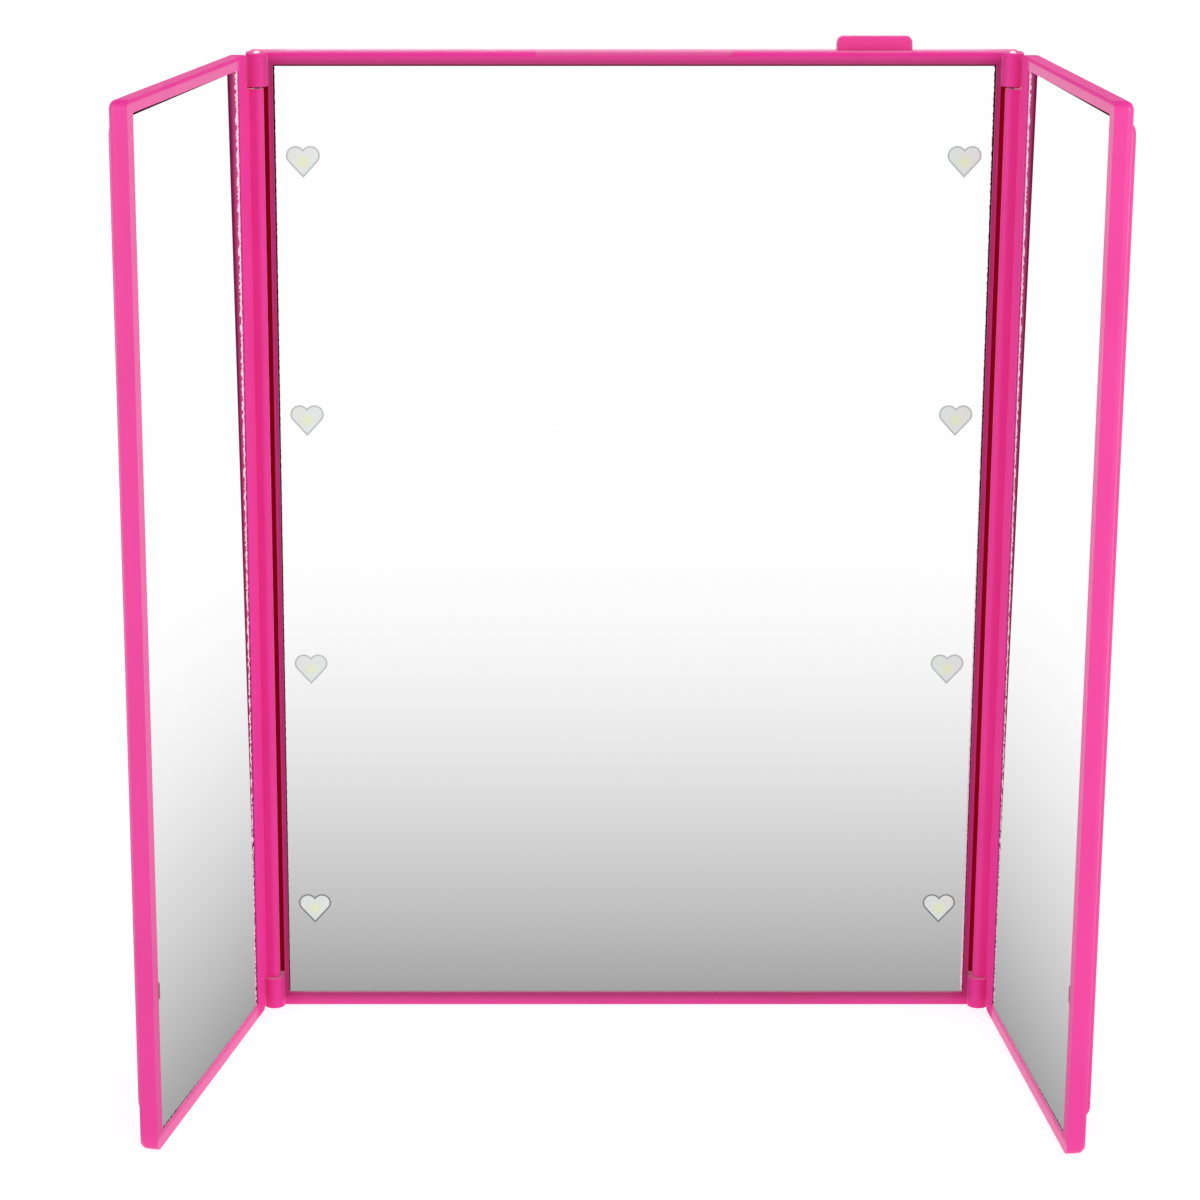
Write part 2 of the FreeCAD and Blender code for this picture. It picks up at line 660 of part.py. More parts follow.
def back_screw(side, z):
    """Slotted screw from the back shell into the front frame."""
    x = side * screw_x
    seat = at_depth(screw_seat)
    head = post(SCREW_HEAD_RADIUS, x, z, (seat, seat + SCREW_HEAD))
    shank = post(SCREW_RADIUS, x, z, (seat - SCREW_LENGTH, seat + SEAM))
    slot_depths = (seat + SCREW_HEAD / 2, seat + SCREW_HEAD + PAST)
    slot_z = (z - SCREW_SLOT / 2, z + SCREW_SLOT / 2)
    slot = block((x - SCREW_HEAD_RADIUS, x + SCREW_HEAD_RADIUS), slot_depths, slot_z)
    return head.fuse(shank).cut(slot).removeSplitter()


def foam_pad(side, place):
    """Foam between the middle pane and the back shell."""
    x = side * place[0]
    x_range = (x - FOAM_WIDTH / 2, x + FOAM_WIDTH / 2)
    z_range = (place[1] - FOAM_LENGTH / 2, place[1] + FOAM_LENGTH / 2)
    return block(x_range, (at_depth(glass_back), at_depth(front_depth)), z_range)


wire_y = at_depth(front_depth - WIRE_LIFT - WIRE_RADIUS)


def wire(places):
    """Round wire along straight runs with a round bend at each corner; places are (x, z)."""
    points = [Vector(x, wire_y, z) for x, z in places]
    edges = []
    start = points[0]
    for before, corner, after in zip(points, points[1:], points[2:]):
        back = (before - corner).normalize()
        ahead = (after - corner).normalize()
        half_angle = back.getAngle(ahead) / 2
        setback = WIRE_BEND / math.tan(half_angle)
        bisector = (back + ahead).normalize()
        middle = corner + bisector * (WIRE_BEND / math.sin(half_angle) - WIRE_BEND)
        bend_in = corner + back * setback
        bend_out = corner + ahead * setback
        edges.append(Part.LineSegment(start, bend_in).toShape())
        edges.append(Part.Arc(bend_in, middle, bend_out).toShape())
        start = bend_out
    edges.append(Part.LineSegment(start, points[-1]).toShape())
    path = Part.Wire(edges)
    section = Part.Wire(Part.makeCircle(WIRE_RADIUS, points[0], points[1] - points[0]))
    return path.makePipeShell([section], True, False)


def battery_lead(x_start, x_end, below):
    """Lead from a contact tag up to the control board, level for a stretch below it."""
    level = control_bottom - below
    return wire([(x_start, box_top + TAG_LENGTH + SEAM), (x_start, level), (x_end, level),
                 (x_end, control_bottom - SEAM)])


lamp_lead_height = control_top - LED_LEAD_BELOW


def lamp_lead(side):
    """Lead from the control board across to a lamp board."""
    start = button_x + side * (CONTROL_WIDTH / 2 + SEAM)
    end = side * (heart_x - BOARD_WIDTH / 2 - SEAM)
    return wire([(start, lamp_lead_height), (end, lamp_lead_height)])


# Hinge pins

def hinge_pin(side, at_top):
    """Steel pin through a knuckle into the barrel's end."""
    if at_top:
        z_range = (HEIGHT - KNUCKLE_HEIGHT - PIN_REACH, HEIGHT + PIN_PROUD)
    else:
        z_range = (PIN_SUNK, KNUCKLE_HEIGHT + PIN_REACH)
    body = upright_post(PIN_RADIUS, side * axis_x, axis_y, z_range)
    return round_at(body, "Z", z_range[1], PIN_PROUD * ROUND_SHARE)


# Wings, drawn open flat to the right with the hinge axis at x = 0, y = 0

pane_start = wing_view_start - GLASS_LAP
pane_end = wing_view_end + GLASS_LAP


def wing_frame():
    """Bezel and walls of a wing, with the hinge barrel and the leaf that carries it."""
    x_range = (wing_start, wing_end)
    body = plate(x_range, (wing_front, wing_back), (0, HEIGHT), OUTLINE_ROUND)
    body = round_at(body, "Y", wing_back, min(WING_BACK_ROUND, (HEIGHT - pocket_top) * ROUND_SHARE))
    outer_front = [edge for edge in edges_at(body, "Y", wing_front) if edge.BoundBox.XMax > wing_view_start]
    body = body.makeFillet(EDGE_ROUND, outer_front)
    through = (wing_front - PAST, wing_back + PAST)
    opening = plate((wing_view_start, wing_view_end), through, (view_bottom, view_top), EDGE_ROUND)
    pocket_x = (pane_start - GLASS_GAP, pane_end + GLASS_GAP)
    pocket = block(pocket_x, (wing_glass_front, through[1]), (pocket_bottom, pocket_top))
    body = body.cut([opening, pocket])
    catch_bottom = view_bottom + CATCH_HEIGHT
    catch_depths = (wing_front + CATCH_SET_BACK, wing_glass_front)
    catch_z = (catch_bottom, catch_bottom + CATCH_LENGTH)
    catch = block((wing_view_end - CATCH_REACH, pane_end), catch_depths, catch_z)
    barrel_z = (KNUCKLE_HEIGHT + BARREL_GAP, HEIGHT - KNUCKLE_HEIGHT - BARREL_GAP)
    barrel = upright_post(BARREL_RADIUS, 0, 0, barrel_z)
    web = block((0, BARREL_RADIUS), (0, leaf_back), barrel_z)
    leaf = block((0, wing_start + OUTLINE_ROUND), (wing_front, leaf_back), barrel_z)
    body = body.fuse([catch, barrel, web, leaf])
    bore_radius = PIN_RADIUS + PIN_RUN_GAP
    reach = PIN_REACH - BARREL_GAP + PIN_END_ROOM
    low_bore = upright_post(bore_radius, 0, 0, (barrel_z[0] - PAST, barrel_z[0] + reach))
    high_bore = upright_post(bore_radius, 0, 0, (barrel_z[1] - reach, barrel_z[1] + PAST))
    return body.cut([low_bore, high_bore]).removeSplitter()


def wing_mirror():
    """Silvered pane of a wing."""
    return block((pane_start, pane_end), (wing_glass_front, wing_glass_back), (pane_bottom, pane_top))


def wing_cover():
    """Outer panel of a wing: a flange in the frame's pocket and a raised, hollow pad."""
    flange = block((pane_start, pane_end), (cover_front, wing_back), (pane_bottom, pane_top))
    pad_x = (pane_start + PAD_INSET, pane_end - PAD_INSET)
    pad_z = (pane_bottom + PAD_INSET, pane_top - PAD_INSET)
    pad_back = wing_back + PAD_RAISE
    pad = plate(pad_x, (cover_front, pad_back), pad_z, PAD_CORNER)
    pad = round_at(pad, "Y", pad_back, PAD_ROUND)
    hollow_x = (pad_x[0] + PAD_WALL, pad_x[1] - PAD_WALL)
    hollow_z = (pad_z[0] + PAD_WALL, pad_z[1] - PAD_WALL)
    hollow = plate(hollow_x, (cover_front - PAST, pad_back - PAD_WALL), hollow_z, PAD_CORNER - PAD_WALL)
    return flange.fuse(pad).cut(hollow).removeSplitter()


def wing_tape():
    """Two strips of tape between the pane and the cover's flange."""
    depths = (wing_glass_back, cover_front)
    z_range = (pane_bottom + PAD_INSET, pane_top - PAD_INSET)
    margin = (PAD_INSET - TAPE_WIDTH) / 2
    inner = block((pane_start + margin, pane_start + margin + TAPE_WIDTH), depths, z_range)
    outer = block((pane_end - margin - TAPE_WIDTH, pane_end - margin), depths, z_range)
    return [inner, outer]


def stand_wing(body, side):
    """Turn a flat wing to the angle at which it stands, on its own side."""
    opening = LEFT_OPENING if side < 0 else RIGHT_OPENING
    placed = body.copy()
    placed.rotate(Vector(0, 0, 0), Vector(0, 0, 1), opening - 180)
    placed.translate(Vector(axis_x, axis_y, 0))
    return mirrored(placed) if side < 0 else placed


# All pieces

save("centre_front_frame", centre_front_frame())
save("centre_back_shell", centre_back_shell())
save("centre_mirror", centre_mirror())
save("heart_windows", hearts((LIP, glass_back), -SEAM))
save("control_board", control_board())
save("power_switch", power_switch())
save("switch_plunger", switch_plunger())
save("power_button", power_button())
save("battery_door", battery_door())
for number in range(CELL_COUNT):
    save("battery_cell_%d" % (number + 1), battery_cell(number))
save("battery_terminal_negative", terminal(0))
save("battery_terminal_positive", terminal(CELL_COUNT - 1))
save("battery_link_top", contact(middle_pair, True))
save("battery_link_bottom_left", contact(left_pair, False))
save("battery_link_bottom_right", contact(right_pair, False))
save("back_screws", [back_screw(side, z) for side in SIDES.values() for z in screw_heights])
foam_places = [(FOAM_LOW_OUT, FOAM_LOW_UP), (FOAM_HIGH_OUT, HEIGHT - FOAM_HIGH_DOWN)]
save("mirror_foam_pads", [foam_pad(side, place) for side in SIDES.values() for place in foam_places])
control_left = button_x - LEAD_SPREAD / 2
save("battery_lead_negative", battery_lead(cell_places[0], control_left, NEGATIVE_LEAD_BELOW))
save("battery_lead_positive", battery_lead(cell_places[-1], control_left + LEAD_SPREAD, POSITIVE_LEAD_BELOW))
for name, side in SIDES.items():
    save("led_board_" + name, led_board(side))
    save("leds_" + name, [led(side, z) for z in heart_heights])
    save("led_lead_" + name, lamp_lead(side))
    save("hinge_pin_%s_top" % name, hinge_pin(side, True))
    save("hinge_pin_%s_bottom" % name, hinge_pin(side, False))
    save(name + "_wing_frame", stand_wing(wing_frame(), side))
    save(name + "_wing_mirror", stand_wing(wing_mirror(), side))
    save(name + "_wing_cover", stand_wing(wing_cover(), side))
    save(name + "_wing_mirror_tape", [stand_wing(strip, side) for strip in wing_tape()])
print("hinge axes at x = +-%.3f, y = %.3f" % (axis_x, axis_y))
print("door travel clears the box after %.1f mm" % (box_top - bay_bottom))
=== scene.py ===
# %% [markdown]
# # A lighted trifold makeup mirror
# The real thing is a table mirror in glossy pink plastic. Its middle pane has eight heart-shaped
# windows with lamps behind them, and a mirror wing folds in from each side. The CAD model arrives at
# its real size and place, so nothing is scaled or moved here. The mouldings that catch the light are
# modelled again with softer edges, and the rest keep their CAD shape and get a finish.

# %% Load the CAD model
import json
import math
import bpy
from mathutils import Matrix, Vector


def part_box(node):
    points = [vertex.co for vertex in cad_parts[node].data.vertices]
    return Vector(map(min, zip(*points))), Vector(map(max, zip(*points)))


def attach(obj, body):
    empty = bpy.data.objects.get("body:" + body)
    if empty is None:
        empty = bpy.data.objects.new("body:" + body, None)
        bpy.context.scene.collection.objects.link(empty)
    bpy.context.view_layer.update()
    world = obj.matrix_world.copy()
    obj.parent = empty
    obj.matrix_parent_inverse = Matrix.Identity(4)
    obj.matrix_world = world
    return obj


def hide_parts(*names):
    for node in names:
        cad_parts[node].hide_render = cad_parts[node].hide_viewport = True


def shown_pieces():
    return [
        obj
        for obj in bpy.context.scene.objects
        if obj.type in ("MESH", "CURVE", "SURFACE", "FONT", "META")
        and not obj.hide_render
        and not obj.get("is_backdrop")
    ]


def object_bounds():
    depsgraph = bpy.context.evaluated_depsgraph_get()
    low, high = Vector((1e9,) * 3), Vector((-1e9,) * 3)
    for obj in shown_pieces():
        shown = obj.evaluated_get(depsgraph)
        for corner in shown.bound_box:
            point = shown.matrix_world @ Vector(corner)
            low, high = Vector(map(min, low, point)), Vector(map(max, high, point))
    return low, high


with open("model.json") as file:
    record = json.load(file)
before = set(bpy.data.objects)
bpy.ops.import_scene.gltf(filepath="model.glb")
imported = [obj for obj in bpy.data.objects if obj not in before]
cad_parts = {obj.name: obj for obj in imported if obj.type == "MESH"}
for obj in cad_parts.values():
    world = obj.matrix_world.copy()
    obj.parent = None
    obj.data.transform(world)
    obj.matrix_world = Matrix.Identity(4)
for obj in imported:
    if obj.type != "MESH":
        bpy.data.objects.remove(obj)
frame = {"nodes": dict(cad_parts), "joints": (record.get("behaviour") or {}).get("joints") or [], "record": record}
cad_low, cad_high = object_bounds()
MM = 0.001
print("CAD box in mm:", [round((b - a) / MM, 1) for a, b in zip(cad_low, cad_high)])

# %% [markdown]
# ## The camera
# The photo was taken from a little above and slightly left of the middle, with a long lens. These
# values come from lining up the corners of the three panes. The optical centre is not the middle of
# the picture, as happens when a photo is cropped, and the camera's shift says by how much.

# %% Camera
PICTURE = 1200
FOCAL_LENGTH = 3315.1  # in pixels of the picture
OPTICAL_CENTRE = (514.2, 517.1)
CAMERA_PLACE = Vector((-21.93, -608.43, 256.70)) * MM
CAMERA_DOWN = math.radians(14.641)

lens = bpy.data.cameras.new("photo_camera")
lens.sensor_width = 36.0
lens.lens = FOCAL_LENGTH / PICTURE * lens.sensor_width
lens.shift_x = 0.5 - OPTICAL_CENTRE[0] / PICTURE
lens.shift_y = OPTICAL_CENTRE[1] / PICTURE - 0.5
lens.clip_start = 0.01
camera = bpy.data.objects.new("photo_camera", lens)
camera.location = CAMERA_PLACE
camera.rotation_euler = (math.radians(90) - CAMERA_DOWN, 0, 0)
bpy.context.scene.collection.objects.link(camera)
bpy.context.scene.camera = camera
bpy.context.scene.view_settings.view_transform = "Standard"
print("lens %.1f mm, shift %.4f %.4f" % (lens.lens, lens.shift_x, lens.shift_y))

# %% [markdown]
# ## Shader sums
# A finish is easier to read as a formula than as a tangle of nodes. This small class wraps a socket,
# so that an ordinary expression such as 1 - mask adds the Math nodes for it, and one method adds any
# other kind of node: first its settings, then the values or links of its sockets.

# %% The class for shader sums
class Paint:
    """A socket of a node tree. Arithmetic on it adds Math nodes."""

    def __init__(self, tree, socket=None):
        self.tree = tree
        self.socket = socket

    def node(self, kind, settings=None, sockets=None, output=0):
        """Add a node, and return one of its outputs."""
        node = self.tree.nodes.new(kind)
        for name, value in (settings or {}).items():
            setattr(node, name, value)
        for key, value in (sockets or {}).items():
            if isinstance(value, Paint):
                self.tree.links.new(value.socket, node.inputs[key])
            else:
                node.inputs[key].default_value = value
        return Paint(self.tree, node.outputs[output] if node.outputs else None)

    def sum(self, operation, *values):
        return self.node("ShaderNodeMath", {"operation": operation}, dict(enumerate(values)))

    def __add__(self, other):
        return self.sum("ADD", self, other)

    __radd__ = __add__

    def __sub__(self, other):
        return self.sum("SUBTRACT", self, other)

    def __rsub__(self, other):
        return self.sum("SUBTRACT", other, self)

    def __mul__(self, other):
        return self.sum("MULTIPLY", self, other)

    __rmul__ = __mul__

    def __truediv__(self, other):
        return self.sum("DIVIDE", self, other)

    def __mod__(self, other):
        return self.sum("FLOORED_MODULO", self, other)

    def __abs__(self):
        return self.sum("ABSOLUTE", self)


print("shader sums ready")

# %% [markdown]
# ## Helpers for finishes
# Most finishes need the same few things: where on the piece a point lies, a soft step from one value
# to another, a blend of two colours, and cloudy random spots at a size that suits the material.

# %% Finish helpers
def new_finish(name):
    """An empty material, and a start for its nodes."""
    material = bpy.data.materials.new(name)
    material.use_nodes = True
    material.node_tree.nodes.clear()
    return material, Paint(material.node_tree)


def surface(start, sockets):
    """Close a finish with the general surface shader."""
    shader = start.node("ShaderNodeBsdfPrincipled", None, sockets)
    start.node("ShaderNodeOutputMaterial", None, {"Surface": shader})


def place_on_piece(start):
    return start.node("ShaderNodeTexCoord", output="Object")


def flat_place(start):
    """The place that a piece carries with it as an attribute."""
    return start.node("ShaderNodeAttribute", {"attribute_name": "flat_place"}, output="Vector")


def ray(start, fact):
    """What the shader knows of a ray, such as its length or kind."""
    return start.node("ShaderNodeLightPath", output=fact)


def part_of(vector, axis):
    """One coordinate of a place: 0 for X, 1 for Y and 2 for Z."""
    return vector.node("ShaderNodeSeparateXYZ", None, {0: vector}, output=axis)


def rise(value, start, end):
    """0 up to start, 1 from end on, and a smooth rise between them."""
    sockets = {"Value": value, "From Min": start, "From Max": end}
    return value.node("ShaderNodeMapRange", {"interpolation_type": "SMOOTHSTEP"}, sockets)


def blend(share, first, second):
    """The first colour where share is 0, and the second where it is 1."""
    return share.node("ShaderNodeMix", {"data_type": "RGBA"}, {0: share, 6: first, 7: second}, output=2)


def between(share, first, second):
    """The first number where share is 0, and the second where it is 1."""
    return first + (second - first) * share


def clouds(place, size, detail=2.0):
    """Random soft spots of about a given size in metres, from 0 to 1."""
    return place.node("ShaderNodeTexNoise", None, {"Vector": place, "Scale": 1 / size, "Detail": detail})


def stretched(place, x, y, z):
    """The same place with each axis multiplied, to draw a pattern out along the others."""
    return place.node("ShaderNodeMapping", None, {"Vector": place, "Scale": (x, y, z)})


def dents(height, depth, strength=1.0):
    """A normal tilted by a height pattern that is a given number of metres deep."""
    return height.node("ShaderNodeBump", None, {"Height": height, "Distance": depth, "Strength": strength})


def colour(red, green, blue):
    return (red, green, blue, 1.0)


print("finish helpers ready")

# %% [markdown]
# ## The table and the light
# The photo has a seamless white table under soft light from all round. To the eye the table is white,
# and only a faint shadow shows where the mirror stands. In the mirrors it is darker close by and fades
# to white further off, so that every pane goes from grey at its foot to white. Light Path tells the two
# kinds of ray apart and says how far a reflected ray has come. Every other ray meets plain pale paper.

# %% Table
TABLE_SIZE = 6.0  # in metres
FADE_DEPTH = 0.65  # how much darker the table is in a mirror, right at its foot
FADE_LENGTH = 380 * MM  # distance from a mirror at which the table has become white
FADE_POWER = 2.1
FOOT = 6 * MM  # reflected rays this short come from the bars under the panes
SHADOW_SHARE = 0.5  # share of real light and shadow in the white that the eye sees
BOUNCE_SHARE = 0.35  # share of plain white in the light that the table throws back
TABLE_WHITE = 1.49  # of that plain white, so that it is white together with the dimmer real light
PAPER = colour(0.93, 0.93, 0.93)
WHITE = colour(1, 1, 1)

bpy.ops.object.select_all(action="DESELECT")
bpy.ops.mesh.primitive_plane_add(size=TABLE_SIZE, location=(0, 0, 0))
table = bpy.context.object
table.name = "table"
paper, start = new_finish("white_table")
way = ray(start, "Ray Length")
near = 1 - start.sum("MINIMUM", way / FADE_LENGTH, 1.0)
fade = 1 - FADE_DEPTH * start.sum("POWER", near, FADE_POWER) * rise(way, 0.8 * FOOT, FOOT)
seen_by_eye = ray(start, "Is Camera Ray")
lighting = ray(start, "Diffuse Depth")
in_gloss = ray(start, "Is Glossy Ray")
in_gloss = in_gloss * (1 - start.sum("MINIMUM", lighting, 1.0))
through_glass = ray(start, "Is Transmission Ray")
white_light = start.node("ShaderNodeEmission", None, {"Color": WHITE, "Strength": TABLE_WHITE})
faded_light = start.node("ShaderNodeEmission", None, {"Color": WHITE, "Strength": fade})
lit_paper = start.node("ShaderNodeBsdfDiffuse", None, {"Color": PAPER})
as_bounce = ray(start, "Is Diffuse Ray")
eye_share = (seen_by_eye + through_glass) * (1 - SHADOW_SHARE) + as_bounce * BOUNCE_SHARE
for_eye = start.node("ShaderNodeMixShader", None, {0: eye_share, 1: lit_paper, 2: white_light})
shown = start.node("ShaderNodeMixShader", None, {0: in_gloss, 1: for_eye, 2: faded_light})
start.node("ShaderNodeOutputMaterial", None, {"Surface": shown})
table.data.materials.append(paper)
table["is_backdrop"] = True
print("table fades to white at", FADE_LENGTH / MM, "mm")

# %% World and lamps
WORLD_LIGHT = 0.54
KEY_LIGHT = 4.5  # watts, from the right
FILL_LIGHT = 2.8  # from the left
TOP_LIGHT = 2.0
BACK_LIGHT = 1.8  # from behind, for the pale edges on top

world = bpy.data.worlds.new("white_room")
world.use_nodes = True
world.node_tree.nodes.clear()
bpy.context.scene.world = world
start = Paint(world.node_tree)
seen = ray(start, "Is Camera Ray") + ray(start, "Is Glossy Ray") + ray(start, "Is Transmission Ray")
lighting = ray(start, "Diffuse Depth")
seen = seen * (1 - start.sum("MINIMUM", lighting, 1.0))
strength = WORLD_LIGHT + (1 - WORLD_LIGHT) * seen
room = start.node("ShaderNodeBackground", None, {"Color": WHITE, "Strength": strength})
start.node("ShaderNodeOutputWorld", None, {"Surface": room})


def soft_lamp(name, place, watts, size):
    """A square lamp that faces the middle of the object."""
    light = bpy.data.lights.new(name, "AREA")
    light.energy = watts
    light.size = size
    lamp = bpy.data.objects.new(name, light)
    lamp.location = place
    aim = Vector((0, 0, cad_high[2] / 2)) - lamp.location
    lamp.rotation_euler = aim.to_track_quat("-Z", "Y").to_euler()
    bpy.context.scene.collection.objects.link(lamp)


soft_lamp("key_lamp", (0.95, -0.70, 0.40), KEY_LIGHT, 0.5)
soft_lamp("fill_lamp", (-0.95, -0.70, 0.35), FILL_LIGHT, 0.6)
soft_lamp("top_lamp", (0.0, 0.1, 1.2), TOP_LIGHT, 0.7)
soft_lamp("back_lamp", (0.0, 1.3, 0.4), BACK_LIGHT, 0.7)
print("world and four lamps set")

# %% [markdown]
# ## Helpers for modelling
# Each new piece starts as a block or a rod at its size and place. Its edges and faces are picked by
# where they lie, then bevelled or inset in edit mode, and other shapes are joined to it or cut out of
# it. A last narrow bevel on every sharp edge gives the small highlights of a real moulding.

# %% Modelling helpers
TINY = 1e-6
SHARP = math.radians(40)  # edges sharper than this get the last narrow bevel
CREASE = math.radians(50)  # edges sharper than this stay creases in the shading
SOFT_EDGE = 0.12 * MM
FINE_EDGE = 0.1 * MM
FLAT = math.radians(0.5)  # faces that bend less than this are joined
HAIR = 0.01 * MM  # keeps faces of joined shapes from lying in one plane


def only(piece):
    """Select one object alone."""
    bpy.ops.object.select_all(action="DESELECT")
    piece.select_set(True)
    bpy.context.view_layer.objects.active = piece


def enter_edit_mode():
    bpy.ops.object.mode_set(mode="EDIT")


def leave_edit_mode():
    bpy.ops.object.mode_set(mode="OBJECT")


def block(name, low, high):
    """A box between two corners."""
    bpy.ops.object.select_all(action="DESELECT")
    bpy.ops.mesh.primitive_cube_add(size=1.0, location=(Vector(low) + Vector(high)) / 2)
    piece = bpy.context.object
    piece.name = name
    piece.scale = Vector(high) - Vector(low)
    bpy.ops.object.transform_apply(location=True, rotation=True, scale=True)
    return piece


def rod(name, radius, x, y, bottom, top, sides=64):
    """An upright round bar."""
    bpy.ops.object.select_all(action="DESELECT")
    middle = (x, y, (bottom + top) / 2)
    bpy.ops.mesh.primitive_cylinder_add(vertices=sides, radius=radius, depth=top - bottom, location=middle)
    piece = bpy.context.object
    piece.name = name
    bpy.ops.object.transform_apply(location=True, rotation=True, scale=True)
    return piece


def pick(piece, kind, test):
    """Go into edit mode with only those edges or faces selected whose corners pass a test."""
    only(piece)
    enter_edit_mode()
    bpy.ops.mesh.select_mode(type=kind)
    bpy.ops.mesh.select_all(action="DESELECT")
    leave_edit_mode()
    mesh = piece.data
    for item in mesh.edges if kind == "EDGE" else mesh.polygons:
        item.select = test([mesh.vertices[index].co for index in item.vertices])
    enter_edit_mode()


def at(axis, value):
    """A test that all corners lie at a value on an axis."""
    return lambda corners: all(abs(corner[axis] - value) < TINY for corner in corners)


def along(axis):
    """A test that an edge runs along an axis."""
    others = [other for other in range(3) if other != axis]
    return lambda ends: all(abs(ends[0][other] - ends[1][other]) < TINY for other in others)


def lies_level(ends):
    """A test that an edge lies level."""
    return abs(ends[0].z - ends[1].z) < TINY


def round_off(piece, radius, steps, test):
    """Bevel the edges that pass a test."""
    pick(piece, "EDGE", test)
    bpy.ops.mesh.bevel(offset=radius, segments=steps, affect="EDGES", clamp_overlap=True)
    leave_edit_mode()


def merge(piece, tool, operation):
    """Join another shape to a piece (UNION) or cut it out (DIFFERENCE), with 1 for a millimetre."""
    only(piece)
    piece.data.transform(Matrix.Scale(1 / MM, 4))
    tool.data.transform(Matrix.Scale(1 / MM, 4))
    change = piece.modifiers.new("merge", "BOOLEAN")
    change.operation = operation
    change.solver = "MANIFOLD"
    change.object = tool
    bpy.ops.object.modifier_apply(modifier=change.name)
    piece.data.transform(Matrix.Scale(MM, 4))
    bpy.data.objects.remove(tool)


def soften(piece, radius):
    """Narrow bevel on what is still sharp, and smooth shading that keeps flat faces flat."""
    only(piece)
    edge = piece.modifiers.new("soft_edges", "BEVEL")
    edge.width = radius
    edge.segments = 2
    edge.limit_method = "ANGLE"
    edge.angle_limit = SHARP
    bpy.ops.object.modifier_apply(modifier=edge.name)
    bpy.ops.object.shade_smooth_by_angle(angle=CREASE)
    flat = piece.modifiers.new("flat_faces", "WEIGHTED_NORMAL")
    flat.keep_sharp = True
    bpy.ops.object.modifier_apply(modifier=flat.name)


def fit(piece, body, slot, finishes, *nodes):
    """Give a finished piece its body and finishes, and let it stand for CAD nodes."""
    if finishes:
        piece.data.materials.clear()
    for finish in finishes:
        piece.data.materials.append(finish)
    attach(piece, body)
    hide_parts(*nodes)
    print(piece.name, "has", len(piece.data.polygons), "faces")


def twin(piece, name):
    """A copy with a mesh of its own."""
    copy = piece.copy()
    copy.data = piece.data.copy()
    copy.name = name
    bpy.context.scene.collection.objects.link(copy)
    return copy


print("modelling helpers ready")

# %% [markdown]
# ## Wings lie flat to be modelled
# The wings stand at different angles, so their edges line up with no axis. It is simpler to model one
# wing lying open to the right with its hinge axis at the origin, and then to stand a copy of it on
# each side. The hinge joints say where the axes are and how far each wing is from lying flat.

# %% Wing stands
joints = {joint["name"]: joint for joint in frame["joints"]}


def stand(side):
    """The move from a wing that lies flat on the right to where it stands."""
    joint = joints[side + "_wing_hinge"]
    x, y, _ = joint["pos_m"]
    turn = Matrix.Rotation(math.radians(-joint["range_deg"][1]), 4, Vector(joint["axis"]))
    swap = Matrix.Diagonal((-1 if side == "left" else 1, 1, 1, 1))
    return Matrix.Translation((x, y, 0)) @ turn @ swap


def flat_box(node):
    """Corners of a right wing's node when it lies flat."""
    lie = stand("right").inverted()
    places = [lie @ vertex.co for vertex in frame["nodes"][node].data.vertices]
    low = Vector([min(place[axis] for place in places) for axis in range(3)])
    high = Vector([max(place[axis] for place in places) for axis in range(3)])
    return low, high


def stand_up(flat_piece, side):
    """A copy of a flat piece, standing where its wing stands."""
    name = flat_piece.name.replace("flat", side)
    piece = twin(flat_piece, name)
    piece.data.transform(stand(side))
    if side == "left":
        piece.data.flip_normals()
    return piece


def keep_flat_place(piece, back_to_flat=Matrix.Identity(4)):
    """Store where each corner lies on the flat piece, for patterns that go with it."""
    layer = piece.data.attributes.new("flat_place", "FLOAT_VECTOR", "POINT")
    for vertex, item in zip(piece.data.vertices, layer.data):
        item.vector = back_to_flat @ vertex.co


hinge_x = joints["right_wing_hinge"]["pos_m"][0]
hinge_y = joints["right_wing_hinge"]["pos_m"][1]
print("hinges at x", hinge_x / MM, "y", hinge_y / MM)

# %% [markdown]
# ## Pink plastic
# The frames are injection moulded in one strong pink. It is glossy but not polished: the surface has a
# faint grain from the mould, and long pale streaks where the plastic flowed. Fine noise gives the
# grain, noise drawn out along the height gives the streaks, and both change colour and gloss a little.
# All of its shine comes from the white room. The photo shows less of it on the top faces, and beside the
# hinges, where other pink parts stand in the way, so it is turned down there.
# Close to the middle pane, at the button's foot and on the wing catches, shade is painted in as a deeper pink.

# %% Pink plastic
PINK = colour(0.90, 0.042, 0.350)
DEEP_PINK = colour(0.80, 0.030, 0.292)
# painted shade: a deeper pink near the middle pane, at the button's foot and on the wing catches
PAINTED_SHADE_PINK = colour(0.42, 0.008, 0.125)
RED_SHADE = colour(0.54, 0.002, 0.024)
DARK_SHADE = colour(0.44, 0.002, 0.018)


def pink_plastic(name, shelter=None, edge=None):
    """Pink plastic. The shelter says how much shine is lost, and the edge where shade is painted as a deeper pink.
    """
    material, start = new_finish(name)
    place = place_on_piece(start)
    streaks = clouds(stretched(place, 1.0, 1.0, 0.08), 2.5 * MM, 3.0)
    tone = clouds(place, 22 * MM)
    grain = clouds(place, 0.22 * MM, 3.0)
    patches = rise(streaks * 0.2 + tone * 0.8, 0.42, 0.75)
    pink = blend(patches * 0.4, PINK, DEEP_PINK)
    if edge:
        pink = blend(edge(place), pink, PAINTED_SHADE_PINK)
    look = {
        "Base Color": pink,
        "Roughness": 0.27 + 0.07 * streaks + 0.08 * grain,
        "Normal": dents(grain, 0.012 * MM, 0.5),
        "IOR": 1.5,
    }
    shader = start.node("ShaderNodeBsdfPrincipled", None, look)
    if shelter:
        look["Specular IOR Level"] = 0.0
        dull = start.node("ShaderNodeBsdfPrincipled", None, look)
        shader = start.node("ShaderNodeMixShader", None, {0: shelter(start), 1: shader, 2: dull})
    start.node("ShaderNodeOutputMaterial", None, {"Surface": shader})
    return material


plastic = pink_plastic("pink_plastic")
